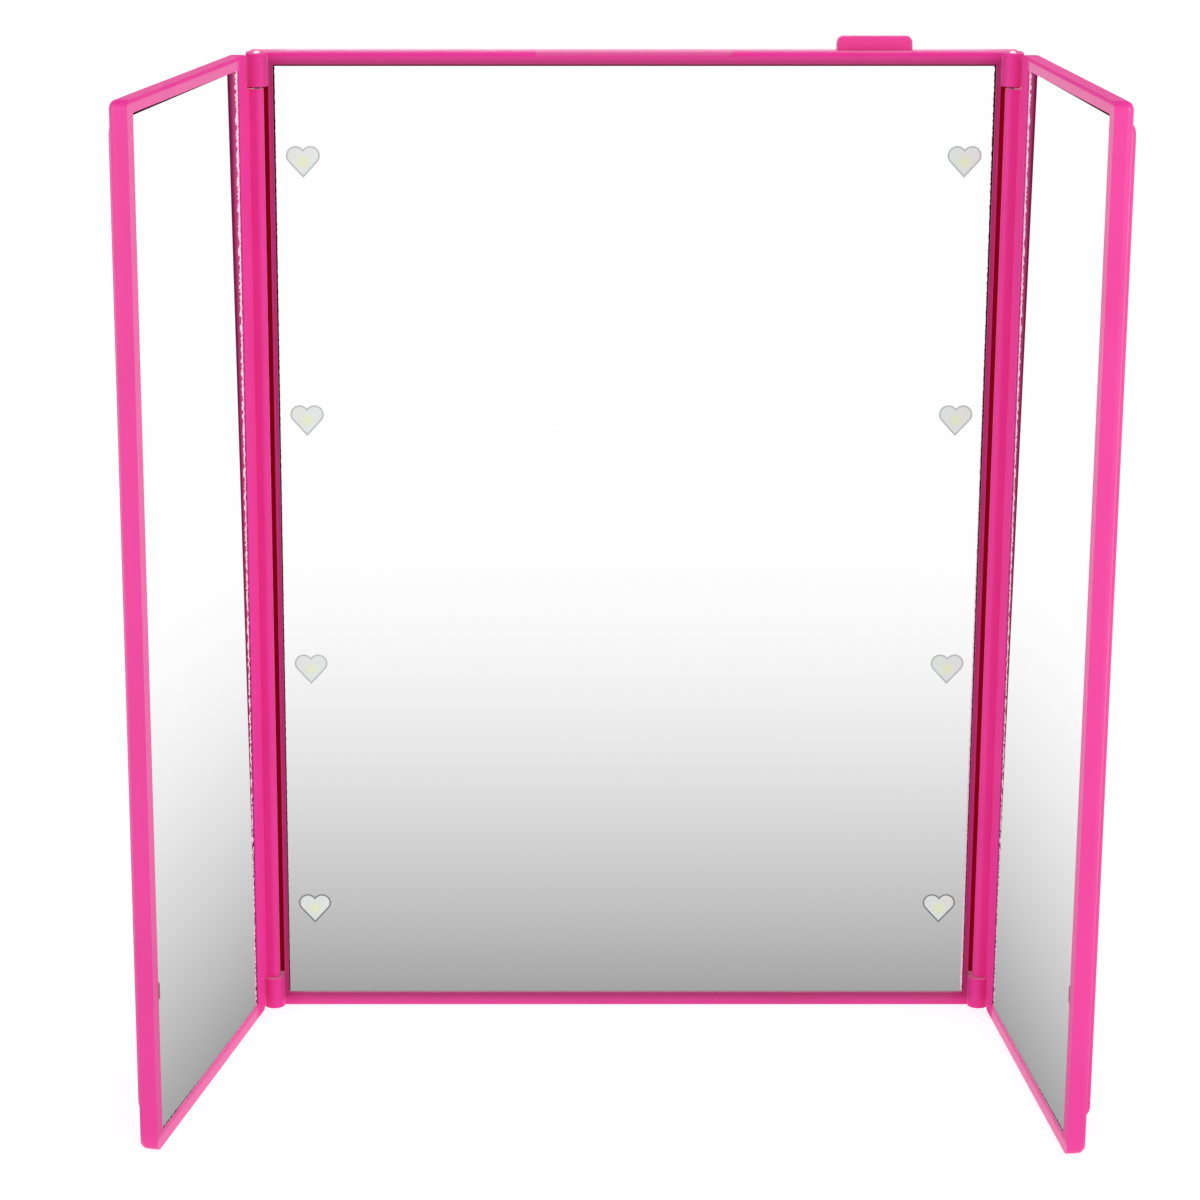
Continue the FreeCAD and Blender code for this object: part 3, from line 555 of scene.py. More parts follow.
# painted shade deep in a groove, where only light through the plastic itself would arrive
shaded, start = new_finish("shaded_plastic")
tone = clouds(place_on_piece(start), 8 * MM)
surface(start, {
    "Base Color": blend(tone, RED_SHADE, DARK_SHADE),
    "Roughness": 0.6,
    "Specular IOR Level": 0.05,
})
print("made", plastic.name, "and", shaded.name)

# %% Where the plastic loses its shine
BY_HINGE = 0.5  # how much of the shine is lost beside the hinges
ON_LEAF = 0.85  # on the leaves beside the barrels
ON_TOP = 0.8  # and on the top faces


def on_top(place, node):
    """High on the top face of a frame."""
    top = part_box(node)[1].z
    return ON_TOP * rise(part_of(place, 2), top - 0.9 * MM, top - 0.5 * MM)


def wing_shelter(start):
    """High on the hinge side and on the top face of a wing."""
    place = flat_place(start)
    across = part_of(place, 0)
    by_hinge = between(rise(across, 1.0 * MM, 1.6 * MM), BY_HINGE, ON_LEAF)
    inward = 1 - rise(across, 6.0 * MM, 9.0 * MM)
    return start.sum("MAXIMUM", by_hinge * inward, on_top(place, "left_wing_frame"))


def middle_shelter(start):
    """High at both sides and on the front of the top face of the middle frame."""
    place = place_on_piece(start)
    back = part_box("centre_front_frame")[1].y
    outward = rise(abs(part_of(place, 0)), 62 * MM, 66 * MM)
    in_front = 1 - 0.8 * rise(part_of(place, 1), back - 4.0 * MM, back - 1.0 * MM)
    return start.sum("MAXIMUM", BY_HINGE * outward, in_front * on_top(place, "centre_front_frame"))


print("top faces lose", ON_TOP, "of their shine")

# %% Where shade is painted on the plastic as a deeper pink
MIDDLE_LAP = 0.3 * MM  # how far the middle frame overlaps its pane
PANE_SHADE = 0.85
PANE_SHADE_WIDTH = 2.2 * MM
BUTTON_SHADE = 0.25


def beside_middle_pane(place):
    """High on the bars round the middle pane, close to the glass, where shade is painted."""
    low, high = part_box("centre_mirror")
    middle = (low.z + high.z) / 2
    beside = abs(part_of(place, 0)) - (high.x - MIDDLE_LAP)
    above = abs(part_of(place, 2) - middle) - (high.z - MIDDLE_LAP - middle)
    return PANE_SHADE * (1 - rise(place.sum("MAXIMUM", beside, above), 0.0, PANE_SHADE_WIDTH))


def button_foot_shade(place):
    """Painted shade: high on the button close to the bar that it stands on, and less towards its two ends."""
    low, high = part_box("power_button")
    from_middle = abs(part_of(place, 0) - (low.x + high.x) / 2)
    down = 1 - rise(part_of(place, 2), high.z - 2.6 * MM, high.z - 0.8 * MM)
    return BUTTON_SHADE * down * (1 - 0.7 * rise(from_middle, 3.5 * MM, 6.5 * MM))


middle_plastic = pink_plastic("middle_plastic", middle_shelter, beside_middle_pane)
button_plastic = pink_plastic("button_plastic", None, button_foot_shade)
print("made", middle_plastic.name, "and", button_plastic.name)

# %% [markdown]
# ## Wing frame
# Each wing is held by a slim pink frame with round back edges. A thin leaf joins it to the hinge barrel
# that runs between the knuckles. The blank is a block: its corners and back edges are rounded first,
# while they are still simple, and the opening, pane pocket, leaf and barrel come after.

# %% Wing frame blank
WING_LIP = 0.3 * MM
WING_SIDE_GAP = 0.05 * MM
WING_CORNER = 1.55 * MM
WING_BACK_ROUND = 1.5 * MM
FRONT_ROUND = 0.4 * MM

_, wing_high = flat_box("right_wing_frame")
pane_low, pane_high = flat_box("right_wing_mirror")
housing_low, housing_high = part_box("centre_front_frame")
height = wing_high.z
wing_start = housing_high.x - hinge_x + WING_SIDE_GAP
wing_front = pane_low.y - WING_LIP
wing_blank = block("flat_wing_frame_moulding", (wing_start, wing_front, 0), wing_high)
round_off(wing_blank, WING_CORNER, 8, along(1))
round_off(wing_blank, WING_BACK_ROUND, 8, at(1, wing_high.y))
round_off(wing_blank, FRONT_ROUND, 4, lambda ends: (
    at(1, wing_front)(ends) and max(end.x for end in ends) > wing_start + WING_CORNER))
print("wing blank from", round(wing_start / MM, 2), "to", round(wing_high.x / MM, 2), "mm")

# %% Opening and pocket of the wing frame
PANE_LAP = 0.5 * MM  # how far a wing's frame overlaps its pane
PANE_GAP = 0.15 * MM
PAST = 1.0 * MM


def cut_opening(frame_blank, low, high, front, back, lap):
    """Cut the pane's opening and the pocket behind it. Returns the opening's corners."""
    opening_low = Vector((low.x + lap, front - PAST, low.z + lap))
    opening_high = Vector((high.x - lap, back + PAST, high.z - lap))
    opening = block("opening", opening_low, opening_high)
    round_off(opening, FRONT_ROUND, 4, along(1))
    merge(frame_blank, opening, "DIFFERENCE")
    gap = Vector((PANE_GAP, 0, PANE_GAP))
    pocket_high = Vector((high.x, back + PAST, high.z)) + gap
    merge(frame_blank, block("pocket", low - gap, pocket_high), "DIFFERENCE")
    print("opening of", round((opening_high.x - opening_low.x) / MM, 1), "mm")
    return opening_low, opening_high


wing_view_low, wing_view_high = cut_opening(wing_blank, pane_low, pane_high,
                                            wing_front, wing_high.y, PANE_LAP)

# %% Barrel, leaf and catch of the wing frame
BARREL_RADIUS = 1.15 * MM
BARREL_END_ROUND = 0.15 * MM
KNUCKLE_HEIGHT = 6.0 * MM
TOP_GAP = 0.45 * MM  # the wings hang low on their pins
FOOT_GAP = 0.15 * MM
LEAF = 0.9 * MM
CATCH_BOTTOM = 25.0 * MM
CATCH_LENGTH = 3.0 * MM
CATCH_REACH = 0.9 * MM

barrel_bottom = KNUCKLE_HEIGHT + FOOT_GAP
barrel_top = height - KNUCKLE_HEIGHT - TOP_GAP
leaf_back = wing_front + LEAF
barrel = rod("wing_barrel", BARREL_RADIUS, 0, 0, barrel_bottom, barrel_top)
round_off(barrel, BARREL_END_ROUND, 3, lies_level)
merge(wing_blank, barrel, "UNION")
web = block("wing_web", (0, 0, barrel_bottom), (BARREL_RADIUS, leaf_back - 2 * HAIR, barrel_top))
merge(wing_blank, web, "UNION")
leaf_low = (0, wing_front + HAIR, barrel_bottom)
leaf = block("wing_leaf", leaf_low, (wing_start + PAST, leaf_back, barrel_top))
merge(wing_blank, leaf, "UNION")
catch_bottom = wing_view_low.z + CATCH_BOTTOM
catch_low = (wing_view_high.x - CATCH_REACH, wing_front + 5 * HAIR, catch_bottom)
catch_high = (wing_view_high.x + PANE_LAP, pane_low.y, catch_bottom + CATCH_LENGTH)
merge(wing_blank, block("wing_catch", catch_low, catch_high), "UNION")
print("barrel from", round(barrel_bottom / MM, 2), "to", round(barrel_top / MM, 2), "mm")

# %% Wing frames where they stand
SOFT = 0.2 * MM
STUB_LOW = Vector((-1.6, -0.3, 9.5)) * MM  # what is left of the gate, from the frame's back corner
STUB_HIGH = Vector((-0.9, 0.45, 10.2)) * MM
STUB_ROUND = 0.15 * MM


def on_catch(place):
    """1 on the small catch, where shade is painted as a deeper pink."""
    flat = flat_place(place)
    across = part_of(flat, 0)
    up = part_of(flat, 2)
    past_start = rise(across, catch_low[0] - SOFT, catch_low[0])
    past_end = rise(across, wing_view_high.x, catch_high[0])
    past_bottom = rise(up, catch_low[2] - SOFT, catch_low[2])
    past_top = rise(up, catch_high[2], catch_high[2] + SOFT)
    return past_start * (1 - past_end) * past_bottom * (1 - past_top)


wing_plastic = pink_plastic("wing_plastic", wing_shelter, on_catch)
for side in ("left", "right"):
    moulding = stand_up(wing_blank, side)
    if side == "right":
        back_corner = Vector((wing_high.x, wing_high.y, 0))
        stub = block("gate_stub", back_corner + STUB_LOW, back_corner + STUB_HIGH)
        round_off(stub, STUB_ROUND, 2, lambda ends: True)
        stub.data.transform(stand(side))
        merge(moulding, stub, "UNION")
    soften(moulding, SOFT_EDGE)
    keep_flat_place(moulding, stand(side).inverted())
    fit(moulding, side + "_wing", "pink_plastic", [wing_plastic], side + "_wing_frame")
bpy.data.objects.remove(wing_blank)

# %% [markdown]
# ## Middle frame
# The middle housing's front has thin bars round the pane, an open channel down each side for the hinge
# barrel, and a knuckle at each end of a channel. A shallow thumb scoop is cut in the top edge, and a
# slot lets the button through. It is one moulding, so the knuckles are joined to the block.

# %% Middle frame blank
LIP = 0.5 * MM
HOUSING_CORNER = 1.0 * MM
CHANNEL_DEPTH = 2.45 * MM
KNUCKLE_RADIUS = 2.0 * MM

mirror_low, mirror_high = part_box("centre_mirror")
bezel_front = mirror_low.y - LIP
housing_blank = block("centre_frame_moulding", (housing_low.x, bezel_front, 0),
                      (housing_high.x, housing_high.y, height))
round_off(housing_blank, HOUSING_CORNER, 6, along(1))
round_off(housing_blank, FRONT_ROUND, 4, lambda ends: (
    at(1, bezel_front)(ends) and abs(ends[0].x - ends[1].x) > PAST))
view_low, view_high = cut_opening(housing_blank, mirror_low, mirror_high,
                                  bezel_front, housing_high.y, MIDDLE_LAP)

# %% Hinge channels and knuckles
KNUCKLE_ROUND = 0.3 * MM
NEARLY_ALL = 0.999  # of the radius, so that the two rounds of a knuckle don't meet

channel_inner = hinge_x - KNUCKLE_RADIUS
channel_back = bezel_front + CHANNEL_DEPTH
for side in (-1, 1):
    across = sorted((side * channel_inner, side * (housing_high.x + PAST)))
    channel = block("hinge_channel", (across[0], bezel_front - PAST, -PAST),
                    (across[1], channel_back, height + PAST))
    merge(housing_blank, channel, "DIFFERENCE")
    for bottom in (0, height - KNUCKLE_HEIGHT):
        top = bottom + KNUCKLE_HEIGHT
        middle = side * hinge_x
        knuckle = block("knuckle", (middle - KNUCKLE_RADIUS, hinge_y - KNUCKLE_RADIUS, bottom),
                        (middle + KNUCKLE_RADIUS, channel_back + KNUCKLE_ROUND, top))
        round_off(knuckle, KNUCKLE_RADIUS * NEARLY_ALL, 16, lambda ends: (
            along(2)(ends) and at(1, hinge_y - KNUCKLE_RADIUS)(ends)))
        round_off(knuckle, KNUCKLE_ROUND, 4, lambda ends: (
            along(2)(ends) is False and min(end.y for end in ends) < channel_back))
        merge(housing_blank, knuckle, "UNION")
print("channels are", round(CHANNEL_DEPTH / MM, 2), "mm deep")

# %% Thumb scoop and button slot
SCOOP_WIDTH = 36.0 * MM
SCOOP_DROP = 0.6 * MM
SCOOP_RUN = 4.2 * MM
BUTTON_GAP = 0.15 * MM
BUTTON_LENGTH = 13.8 * MM

scoop_low = (-SCOOP_WIDTH / 2, bezel_front - SCOOP_DROP, height - SCOOP_DROP)
scoop = block("thumb_scoop", scoop_low, (SCOOP_WIDTH / 2, bezel_front + SCOOP_RUN, height + SCOOP_DROP))
pick(scoop, "EDGE", lambda ends: at(1, bezel_front + SCOOP_RUN)(ends) and at(2, height - SCOOP_DROP)(ends))
bpy.ops.transform.translate(value=(0, 0, SCOOP_DROP))
leave_edit_mode()
merge(housing_blank, scoop, "DIFFERENCE")
button_low, button_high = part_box("power_button")
button_x = (button_low.x + button_high.x) / 2
half_slot = BUTTON_LENGTH / 2 + BUTTON_GAP
slot_low = (button_x - half_slot, button_low.y - BUTTON_GAP, mirror_high.z - PAST)
slot_high = (button_x + half_slot, housing_high.y + PAST, height + PAST)
merge(housing_blank, block("button_slot", slot_low, slot_high), "DIFFERENCE")
soften(housing_blank, SOFT_EDGE)
housing_blank.data.materials.clear()
housing_blank.data.materials.append(middle_plastic)
housing_blank.data.materials.append(shaded)
pick(housing_blank, "FACE", lambda corners: (
    at(1, channel_back)(corners) and min(abs(corner.x) for corner in corners) > channel_inner - TINY))
housing_blank.active_material_index = 1
bpy.ops.object.material_slot_assign()
leave_edit_mode()
print(sum(face.material_index for face in housing_blank.data.polygons), "faces in the channels' shade")
fit(housing_blank, "centre_panel", "pink_plastic", [], "centre_front_frame")

# %% [markdown]
# ## Button
# The button is a rounded bar that stands out of the top edge. Inside, a wider flange keeps it from
# coming out, and a foot reaches down to the switch.

# %% Button
BUTTON_ROUND = 1.2 * MM
BUTTON_EDGE = 0.75 * MM
FLANGE_HEIGHT = 1.4 * MM
FOOT_HEIGHT = 3.0 * MM
FOOT_LENGTH = 4.0 * MM
CAP_DEPTH = 2.25 * MM

half_cap = BUTTON_LENGTH / 2
flange_bottom = button_low.z + FOOT_HEIGHT
cap_back = button_low.y + CAP_DEPTH
cap = block("power_button_cap", (button_x - half_cap, button_low.y, flange_bottom),
            (button_x + half_cap, cap_back, button_high.z))
round_off(cap, BUTTON_ROUND, 8, lambda ends: along(1)(ends) and at(2, button_high.z)(ends))
round_off(cap, BUTTON_EDGE, 5, lambda ends: (
    (at(1, button_low.y)(ends) or at(1, cap_back)(ends)) and min(end.z for end in ends) > height))
flange = block("button_flange", (button_low.x, button_low.y + 2 * HAIR, flange_bottom),
               (button_high.x, cap_back - 2 * HAIR, flange_bottom + FLANGE_HEIGHT))
merge(cap, flange, "UNION")
foot = block("button_foot", (button_x - FOOT_LENGTH / 2, button_low.y, button_low.z),
             (button_x + FOOT_LENGTH / 2, button_high.y, flange_bottom + PAST / 4))
merge(cap, foot, "UNION")
soften(cap, FINE_EDGE)
fit(cap, "power_button", "pink_plastic", [button_plastic], "power_button")

# %% [markdown]
# ## Back shell, battery door and wing covers
# These mouldings already have the right shape in the CAD model, but their small edges are dead sharp.
# A copy of each is merged into whole faces, and the same narrow bevel as on the frames softens it.

# %% Softened mouldings
def cad_copy(node, name):
    """A copy of a CAD node, without its stored normals."""
    piece = bpy.data.objects.new(name, frame["nodes"][node].data.copy())
    bpy.context.scene.collection.objects.link(piece)
    only(piece)
    bpy.ops.mesh.customdata_custom_splitnormals_clear()
    return piece


def join_triangles():
    """In edit mode, make whole faces of loose triangles."""
    bpy.ops.mesh.select_all(action="SELECT")
    bpy.ops.mesh.remove_doubles(threshold=TINY)
    bpy.ops.mesh.dissolve_limited(angle_limit=FLAT)


def softened_copy(node, name, radius):
    """A copy of a CAD node with whole faces and soft edges."""
    piece = cad_copy(node, name)
    enter_edit_mode()
    join_triangles()
    leave_edit_mode()
    soften(piece, radius)
    return piece


shell = softened_copy("centre_back_shell", "centre_back_moulding", SOFT_EDGE)
fit(shell, "centre_panel", "pink_plastic", [plastic], "centre_back_shell")
door = softened_copy("battery_door", "battery_door_moulding", FINE_EDGE)
fit(door, "battery_door", "pink_plastic", [plastic], "battery_door")
for side in ("left", "right"):
    cover = softened_copy(side + "_wing_cover", side + "_wing_cover_moulding", SOFT_EDGE)
    fit(cover, side + "_wing", "pink_plastic", [plastic], side + "_wing_cover")

# %% [markdown]
# ## Mirror glass
# The panes are silvered glass, scored and snapped by machine. Where the plastic leaves the cut showing,
# the silver is nibbled away in a ragged line: a bright chipped strip, which is also given a faint painted
# glow. The dark toothed line beside the plastic, and the dark lines under and over the bars, are painted
# shadow and reflection of the plastic lip. On the wings a painted reflection of the deep pink hinge runs
# out downwards from the hinge side. All this is drawn by comparing the distance from an edge with a
# width, measured on the pane itself. Each pane carries its flat place as an attribute for that.

# %% Edges of the silver
CHIP_LENGTH = 1.6 * MM  # along an edge
TOOTH_LENGTH = 0.9 * MM
FOOT_TOOTH_LENGTH = 0.8 * MM
FOOT_LINE = 0.06 * MM  # width of the dark line over the bottom bar
BAND_EDGE = 0.03 * MM  # softness of the bands' edges


def teeth(up, size, seed):
    """A random number from 0 to 1 that changes along an edge."""
    noise = up.node("ShaderNodeTexNoise", {"noise_dimensions": "1D"},
                    {"W": up + seed, "Scale": 1 / size, "Detail": 3.0, "Roughness": 0.7})
    return rise(noise, 0.36, 0.64)


def edge_band(distance, width):
    """1 nearer to an edge than a width."""
    return 1 - rise(distance - width, -BAND_EDGE, BAND_EDGE)


def ragged_side(side, across, up, climb):
    """Where the silver is chipped along a side, and where a painted shadow line lies beside the plastic."""
    place = side["place"]
    distance = (across - place) * side["inward"]
    chip_width = between(teeth(up, CHIP_LENGTH, place), *side["chips"])
    painted_shadow_width = between(teeth(up, TOOTH_LENGTH, place + 1), *side["painted_shadow"])
    chip_share, painted_shadow_share = [between(climb, *ends) for ends in zip(side["at_foot"], side["at_top"])]
    return edge_band(distance, chip_width * chip_share), edge_band(distance, painted_shadow_width * painted_shadow_share)


print("edges up to", BAND_EDGE / MM, "mm soft")

# %% Mirror glass
SILVER = colour(0.998, 0.998, 0.998)
DUSTY_SILVER = colour(0.990, 0.990, 0.990)
CHIPPED = colour(0.91, 0.66, 0.77)
BLACK = colour(0, 0, 0)
# painted shadow and reflection of the plastic lip, at the sides of a pane and at its bars
SHADOW_LINE = colour(0.050, 0.002, 0.012)
# painted reflection of the pink hinge on the wing panes, paler by the hinge and darker further off
PAINTED_REFLECTION_PINK = colour(0.54, 0.070, 0.23)
PAINTED_REFLECTION_SHADE = colour(0.17, 0.005, 0.043)


def mirror_glass(name, low, high, sides, top_line, foot_teeth, painted_reflection_width):
    """Silvered glass between two corners of the opening. A side has its place and its inward direction, the
    least and most width of its chips and of its painted shadow line, and how much of these two shows at the
    top and at the foot. The painted shadow line under the top bar has a width at the left and one at the
    right. The painted shadow line over the bottom bar has teeth of a given depth towards the right, and the
    painted reflection of the hinge its given width at the top."""
    material, start = new_finish(name)
    place = flat_place(start)
    across = part_of(place, 0)
    up = part_of(place, 2)
    climb = (up - low.z) / (high.z - low.z)
    run = (across - low.x) / (high.x - low.x)
    tint = blend(clouds(place, 40 * MM), SILVER, DUSTY_SILVER)
    # the painted reflection of the hinge, widest at the top and running out at the foot
    reflection_width = climb * painted_reflection_width
    chips_and_painted_light = edge_band(across - low.x, reflection_width)
    reflection_share = (across - low.x) / (reflection_width + BAND_EDGE)
    tint = blend(chips_and_painted_light, tint, blend(rise(reflection_share, 0.3, 0.95), PAINTED_REFLECTION_PINK, PAINTED_REFLECTION_SHADE))
    bright = 0.0
    for side in sides:
        chipped, painted_shadow = ragged_side(side, across, up, climb)
        tint = blend(painted_shadow, blend(chipped, tint, CHIPPED), SHADOW_LINE)
        bright = start.sum("MAXIMUM", bright, chipped * (1 - painted_shadow))
        chips_and_painted_light = start.sum("MAXIMUM", chips_and_painted_light, start.sum("MAXIMUM", chipped, painted_shadow))
    # painted shadow lines under the top bar and over the bottom bar
    under_bar = edge_band(high.z - up, between(run, *top_line))
    corner_teeth = teeth(across, FOOT_TOOTH_LENGTH, 3.0) * rise(run, 0.45, 1.0)
    over_bar = edge_band(up - low.z, FOOT_LINE + foot_teeth * corner_teeth)
    line = start.sum("MAXIMUM", under_bar, over_bar)
    tint = blend(line, tint, SHADOW_LINE)
    chips_and_painted_light = start.sum("MAXIMUM", chips_and_painted_light, line)
    surface(start, {
        "Base Color": tint,
        "Metallic": 1 - chips_and_painted_light,
        "Roughness": 0.004 + 0.4 * chips_and_painted_light,
        "Specular IOR Level": 0.0,
        # the chipped strip is given a faint painted glow
        "Emission Color": blend(bright, BLACK, CHIPPED),
        "Emission Strength": 0.12,
    })
    return material


print("mirror glass ready")

# %% Wing panes
PANE_GRIND = 0.2 * MM


def pane(name, low, high):
    """A sheet of glass with ground edges, front and back."""
    piece = block(name, low, high)
    round_off(piece, PANE_GRIND, 1, lambda ends: not along(1)(ends))
    keep_flat_place(piece)
    return piece


wing_pane = pane("flat_wing_mirror_pane", pane_low, pane_high)
# the second pair of widths is that of the painted shadow line beside the plastic
hinge_side = {
    "place": wing_view_low.x, "inward": 1,
    "chips": (0.9 * MM, 2.1 * MM), "painted_shadow": (0.1 * MM, 1.0 * MM),
    "at_top": (1.0, 0.2), "at_foot": (0.45, 0.7),
}
# the last width is that of the painted reflection of the hinge at the top of the pane
wing_glass = mirror_glass("wing_mirror_glass", wing_view_low, wing_view_high, [hinge_side],
                          top_line=(0.1 * MM, 0.5 * MM), foot_teeth=0.4 * MM, painted_reflection_width=6.2 * MM)
for side in ("left", "right"):
    fit(stand_up(wing_pane, side), side + "_wing", "mirror", [wing_glass], side + "_wing_mirror")
bpy.data.objects.remove(wing_pane)

# %% Middle pane
middle_pane = pane("centre_mirror_pane", mirror_low, mirror_high)
# the second pair of widths on each side is that of the painted shadow line beside the plastic
left_side = {
    "place": view_low.x, "inward": 1,
    "chips": (0.0, 0.0), "painted_shadow": (0.28 * MM, 0.36 * MM),
    "at_top": (1.0, 1.0), "at_foot": (1.0, 0.55),
}
right_side = {
    "place": view_high.x, "inward": -1,
    "chips": (0.50 * MM, 0.62 * MM), "painted_shadow": (0.28 * MM, 0.40 * MM),
    "at_top": (0.4, 1.0), "at_foot": (1.0, 0.5),
}
middle_glass = mirror_glass("centre_mirror_glass", view_low, view_high, [left_side, right_side],
                            top_line=(0.3 * MM, 0.3 * MM), foot_teeth=0.0, painted_reflection_width=0.0)
fit(middle_pane, "centre_panel", "mirror", [middle_glass], "centre_mirror")

# %% [markdown]
# ## Heart windows
# The hearts are places where the pane has no silver but a frosted film. Each has a soft grey outline, and
# the unlit lamp behind shows as a pale yellow spot a little below the middle. The outline is an inset
# of the heart's own face with a second finish. The spot is drawn from the distance to the nearest lamp.

# %% Frosted film
FROST = colour(0.775, 0.875, 0.83)
BRIGHT_FROST = colour(0.815, 0.915, 0.87)
LAMP_GLOW = colour(0.81, 0.95, 0.60)
OUTLINE_GREY = colour(0.215, 0.25, 0.245)
PALE_OUTLINE = colour(0.58, 0.66, 0.64)
LAMP_SIZE = 3.5 * MM
LAMPS = 4

lamp_low, lamp_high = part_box("leds_right")
lamp_x = (lamp_low.x + lamp_high.x) / 2
lamp_step = (lamp_high.z - lamp_low.z - LAMP_SIZE) / (LAMPS - 1)
lamp_first = lamp_low.z + LAMP_SIZE / 2


def from_lamp(place):
    """Sideways and upright distances from the nearest lamp's middle."""
    sideways = abs(part_of(place, 0)) - lamp_x
    upright = (part_of(place, 2) - lamp_first + lamp_step / 2) % lamp_step - lamp_step / 2
    return sideways, upright


def frosted_film():
    material, start = new_finish("frosted_heart")
    place = place_on_piece(start)
    sideways, upright = from_lamp(place)
    lower = upright + 0.25 * MM
    spot = 1 - rise(start.sum("SQRT", sideways * sideways + lower * lower), 0.3 * MM, 1.7 * MM)
    frost = rise(clouds(place, 0.45 * MM, 4.0), 0.35, 0.7)
    film = blend(frost, FROST, BRIGHT_FROST)
    surface(start, {
        "Base Color": blend(spot, film, LAMP_GLOW),
        "Roughness": 0.42 + 0.2 * frost,
        "Normal": dents(frost, 0.01 * MM, 0.4),
        # a faint painted glow on the film, though the lamps behind are off
        "Emission Color": BRIGHT_FROST,
        "Emission Strength": 0.1,
    })
    return material


def heart_outline():
    material, start = new_finish("heart_outline")
    place = place_on_piece(start)
    grain = clouds(place, 0.35 * MM, 3.0)
    paler = rise(part_of(place, 2) + grain * (10 * MM), 22 * MM, 78 * MM)
    surface(start, {"Base Color": blend(paler, OUTLINE_GREY, PALE_OUTLINE), "Roughness": 0.35 + 0.2 * grain})
    return material


film_finish = frosted_film()
outline_finish = heart_outline()
print("lamps every", round(lamp_step / MM, 2), "mm")

# %% Heart-shaped film
FILM = 0.02 * MM  # the film stands this far out of the glass
OUTLINE_WIDTH = 0.29 * MM
HEART_DROP = 0.3 * MM  # the print sits a little low on its windows

hearts = cad_copy("heart_windows", "heart_window_films")
hearts.data.materials.clear()
hearts.data.materials.append(film_finish)
hearts.data.materials.append(outline_finish)
pick(hearts, "FACE", lambda corners: not at(1, mirror_low.y)(corners))
bpy.ops.mesh.delete(type="FACE")
join_triangles()
bpy.ops.mesh.select_all(action="SELECT")
bpy.ops.mesh.extrude_region_move(TRANSFORM_OT_translate={"value": (0, -FILM, 0)})
hearts.active_material_index = 1
bpy.ops.object.material_slot_assign()
bpy.ops.mesh.inset(thickness=OUTLINE_WIDTH)
hearts.active_material_index = 0
bpy.ops.object.material_slot_assign()
bpy.ops.mesh.select_all(action="SELECT")
bpy.ops.transform.translate(value=(0, 0, -HEART_DROP))
leave_edit_mode()
fit(hearts, "centre_panel", "frosted_window", [], "heart_windows")

# %% [markdown]
# ## Hinge pins and screws
# The pins are cut steel wire: bright, with fine turning lines round them and a domed end that shows on
# top of each knuckle. A rod with both rims rounded is enough, and each side gets a copy. The screws keep
# their CAD shape and get the same steel.

# %% Steel
# painted shade and reflection of the pink plastic round the pins' flanks
STEEL_IN_PAINTED_SHADE = colour(0.06, 0.012, 0.025)
STEEL = colour(0.62, 0.62, 0.64)
BRIGHT_STEEL = colour(0.78, 0.78, 0.80)
PIN_DOME = 0.3 * MM
PIN_EDGE = 0.02 * MM


def bright_steel(name, flank_top):
    """Turned steel. Below the given height it is painted dark, as a reflection of the shaded plastic round it."""
    material, start = new_finish(name)
    place = place_on_piece(start)
    turning = clouds(stretched(place, 0.2, 0.2, 6.0), 0.5 * MM, 3.0)
    free = rise(part_of(place, 2), flank_top - 0.1 * MM, flank_top)
    surface(start, {
        "Base Color": blend(free, STEEL_IN_PAINTED_SHADE, blend(turning, STEEL, BRIGHT_STEEL)),
        "Metallic": 1.0,
        "Roughness": 0.16 + 0.16 * turning,
        "Normal": dents(turning, 0.006 * MM, 0.4),
    })
    return material


steel = bright_steel("bright_steel", 0.0)
pin_steel = bright_steel("pin_steel", height - PIN_DOME)
print("made", steel.name, "and", pin_steel.name)

# %% Hinge pins
def hinge_pin(end):
    """The right-hand pin of an end, and its copy on the left."""
    low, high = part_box("hinge_pin_right_" + end)
    pin = rod("hinge_pin_rod_right_" + end, (high.x - low.x) / 2, hinge_x, hinge_y, low.z, high.z, 32)
    round_off(pin, PIN_DOME, 4, lies_level)
    soften(pin, PIN_EDGE)
    other = twin(pin, "hinge_pin_rod_left_" + end)
    other.data.transform(Matrix.Translation((-2 * hinge_x, 0, 0)))
    fit(pin, "centre_panel", "steel", [pin_steel], "hinge_pin_right_" + end)
    fit(other, "centre_panel", "steel", [pin_steel], "hinge_pin_left_" + end)


hinge_pin("top")
hinge_pin("bottom")

# %% [markdown]
# ## Battery cells
# Four plain cells lie behind the door. One is modelled upright: a rod whose top face is inset and drawn
# out into the contact nub. Copies go to the four places, every second one the other way up, and each
# carries its own flat place so that the coloured wrap turns with it.

# %% Cell wrap
WRAP = colour(0.055, 0.060, 0.072)
WRAP_SHADE = colour(0.085, 0.090, 0.105)
WRAP_BAND = colour(0.42, 0.30, 0.16)
CELL_METAL = colour(0.68, 0.67, 0.64)
BAND_START = 33.0 * MM
WRAP_END = 0.9 * MM


def cell_wrap(length):
    material, start = new_finish("cell_wrap")
    place = flat_place(start)
    up = part_of(place, 2)
    grain = clouds(stretched(place, 1.0, 1.0, 0.05), 0.4 * MM, 3.0)
    band = rise(up, BAND_START, BAND_START + 0.1 * MM)
    sleeve = blend(band, blend(grain, WRAP, WRAP_SHADE), WRAP_BAND)
    from_end = start.sum("MINIMUM", up, length - up)
    metal = 1 - rise(from_end, WRAP_END, WRAP_END + 0.1 * MM)
    surface(start, {
        "Base Color": blend(metal, sleeve, CELL_METAL),
        "Metallic": start.sum("MAXIMUM", metal, 0.6 * band),
        "Roughness": 0.25 + 0.15 * grain,
    })
    return material


print("wrap has a band from", BAND_START / MM, "mm up")

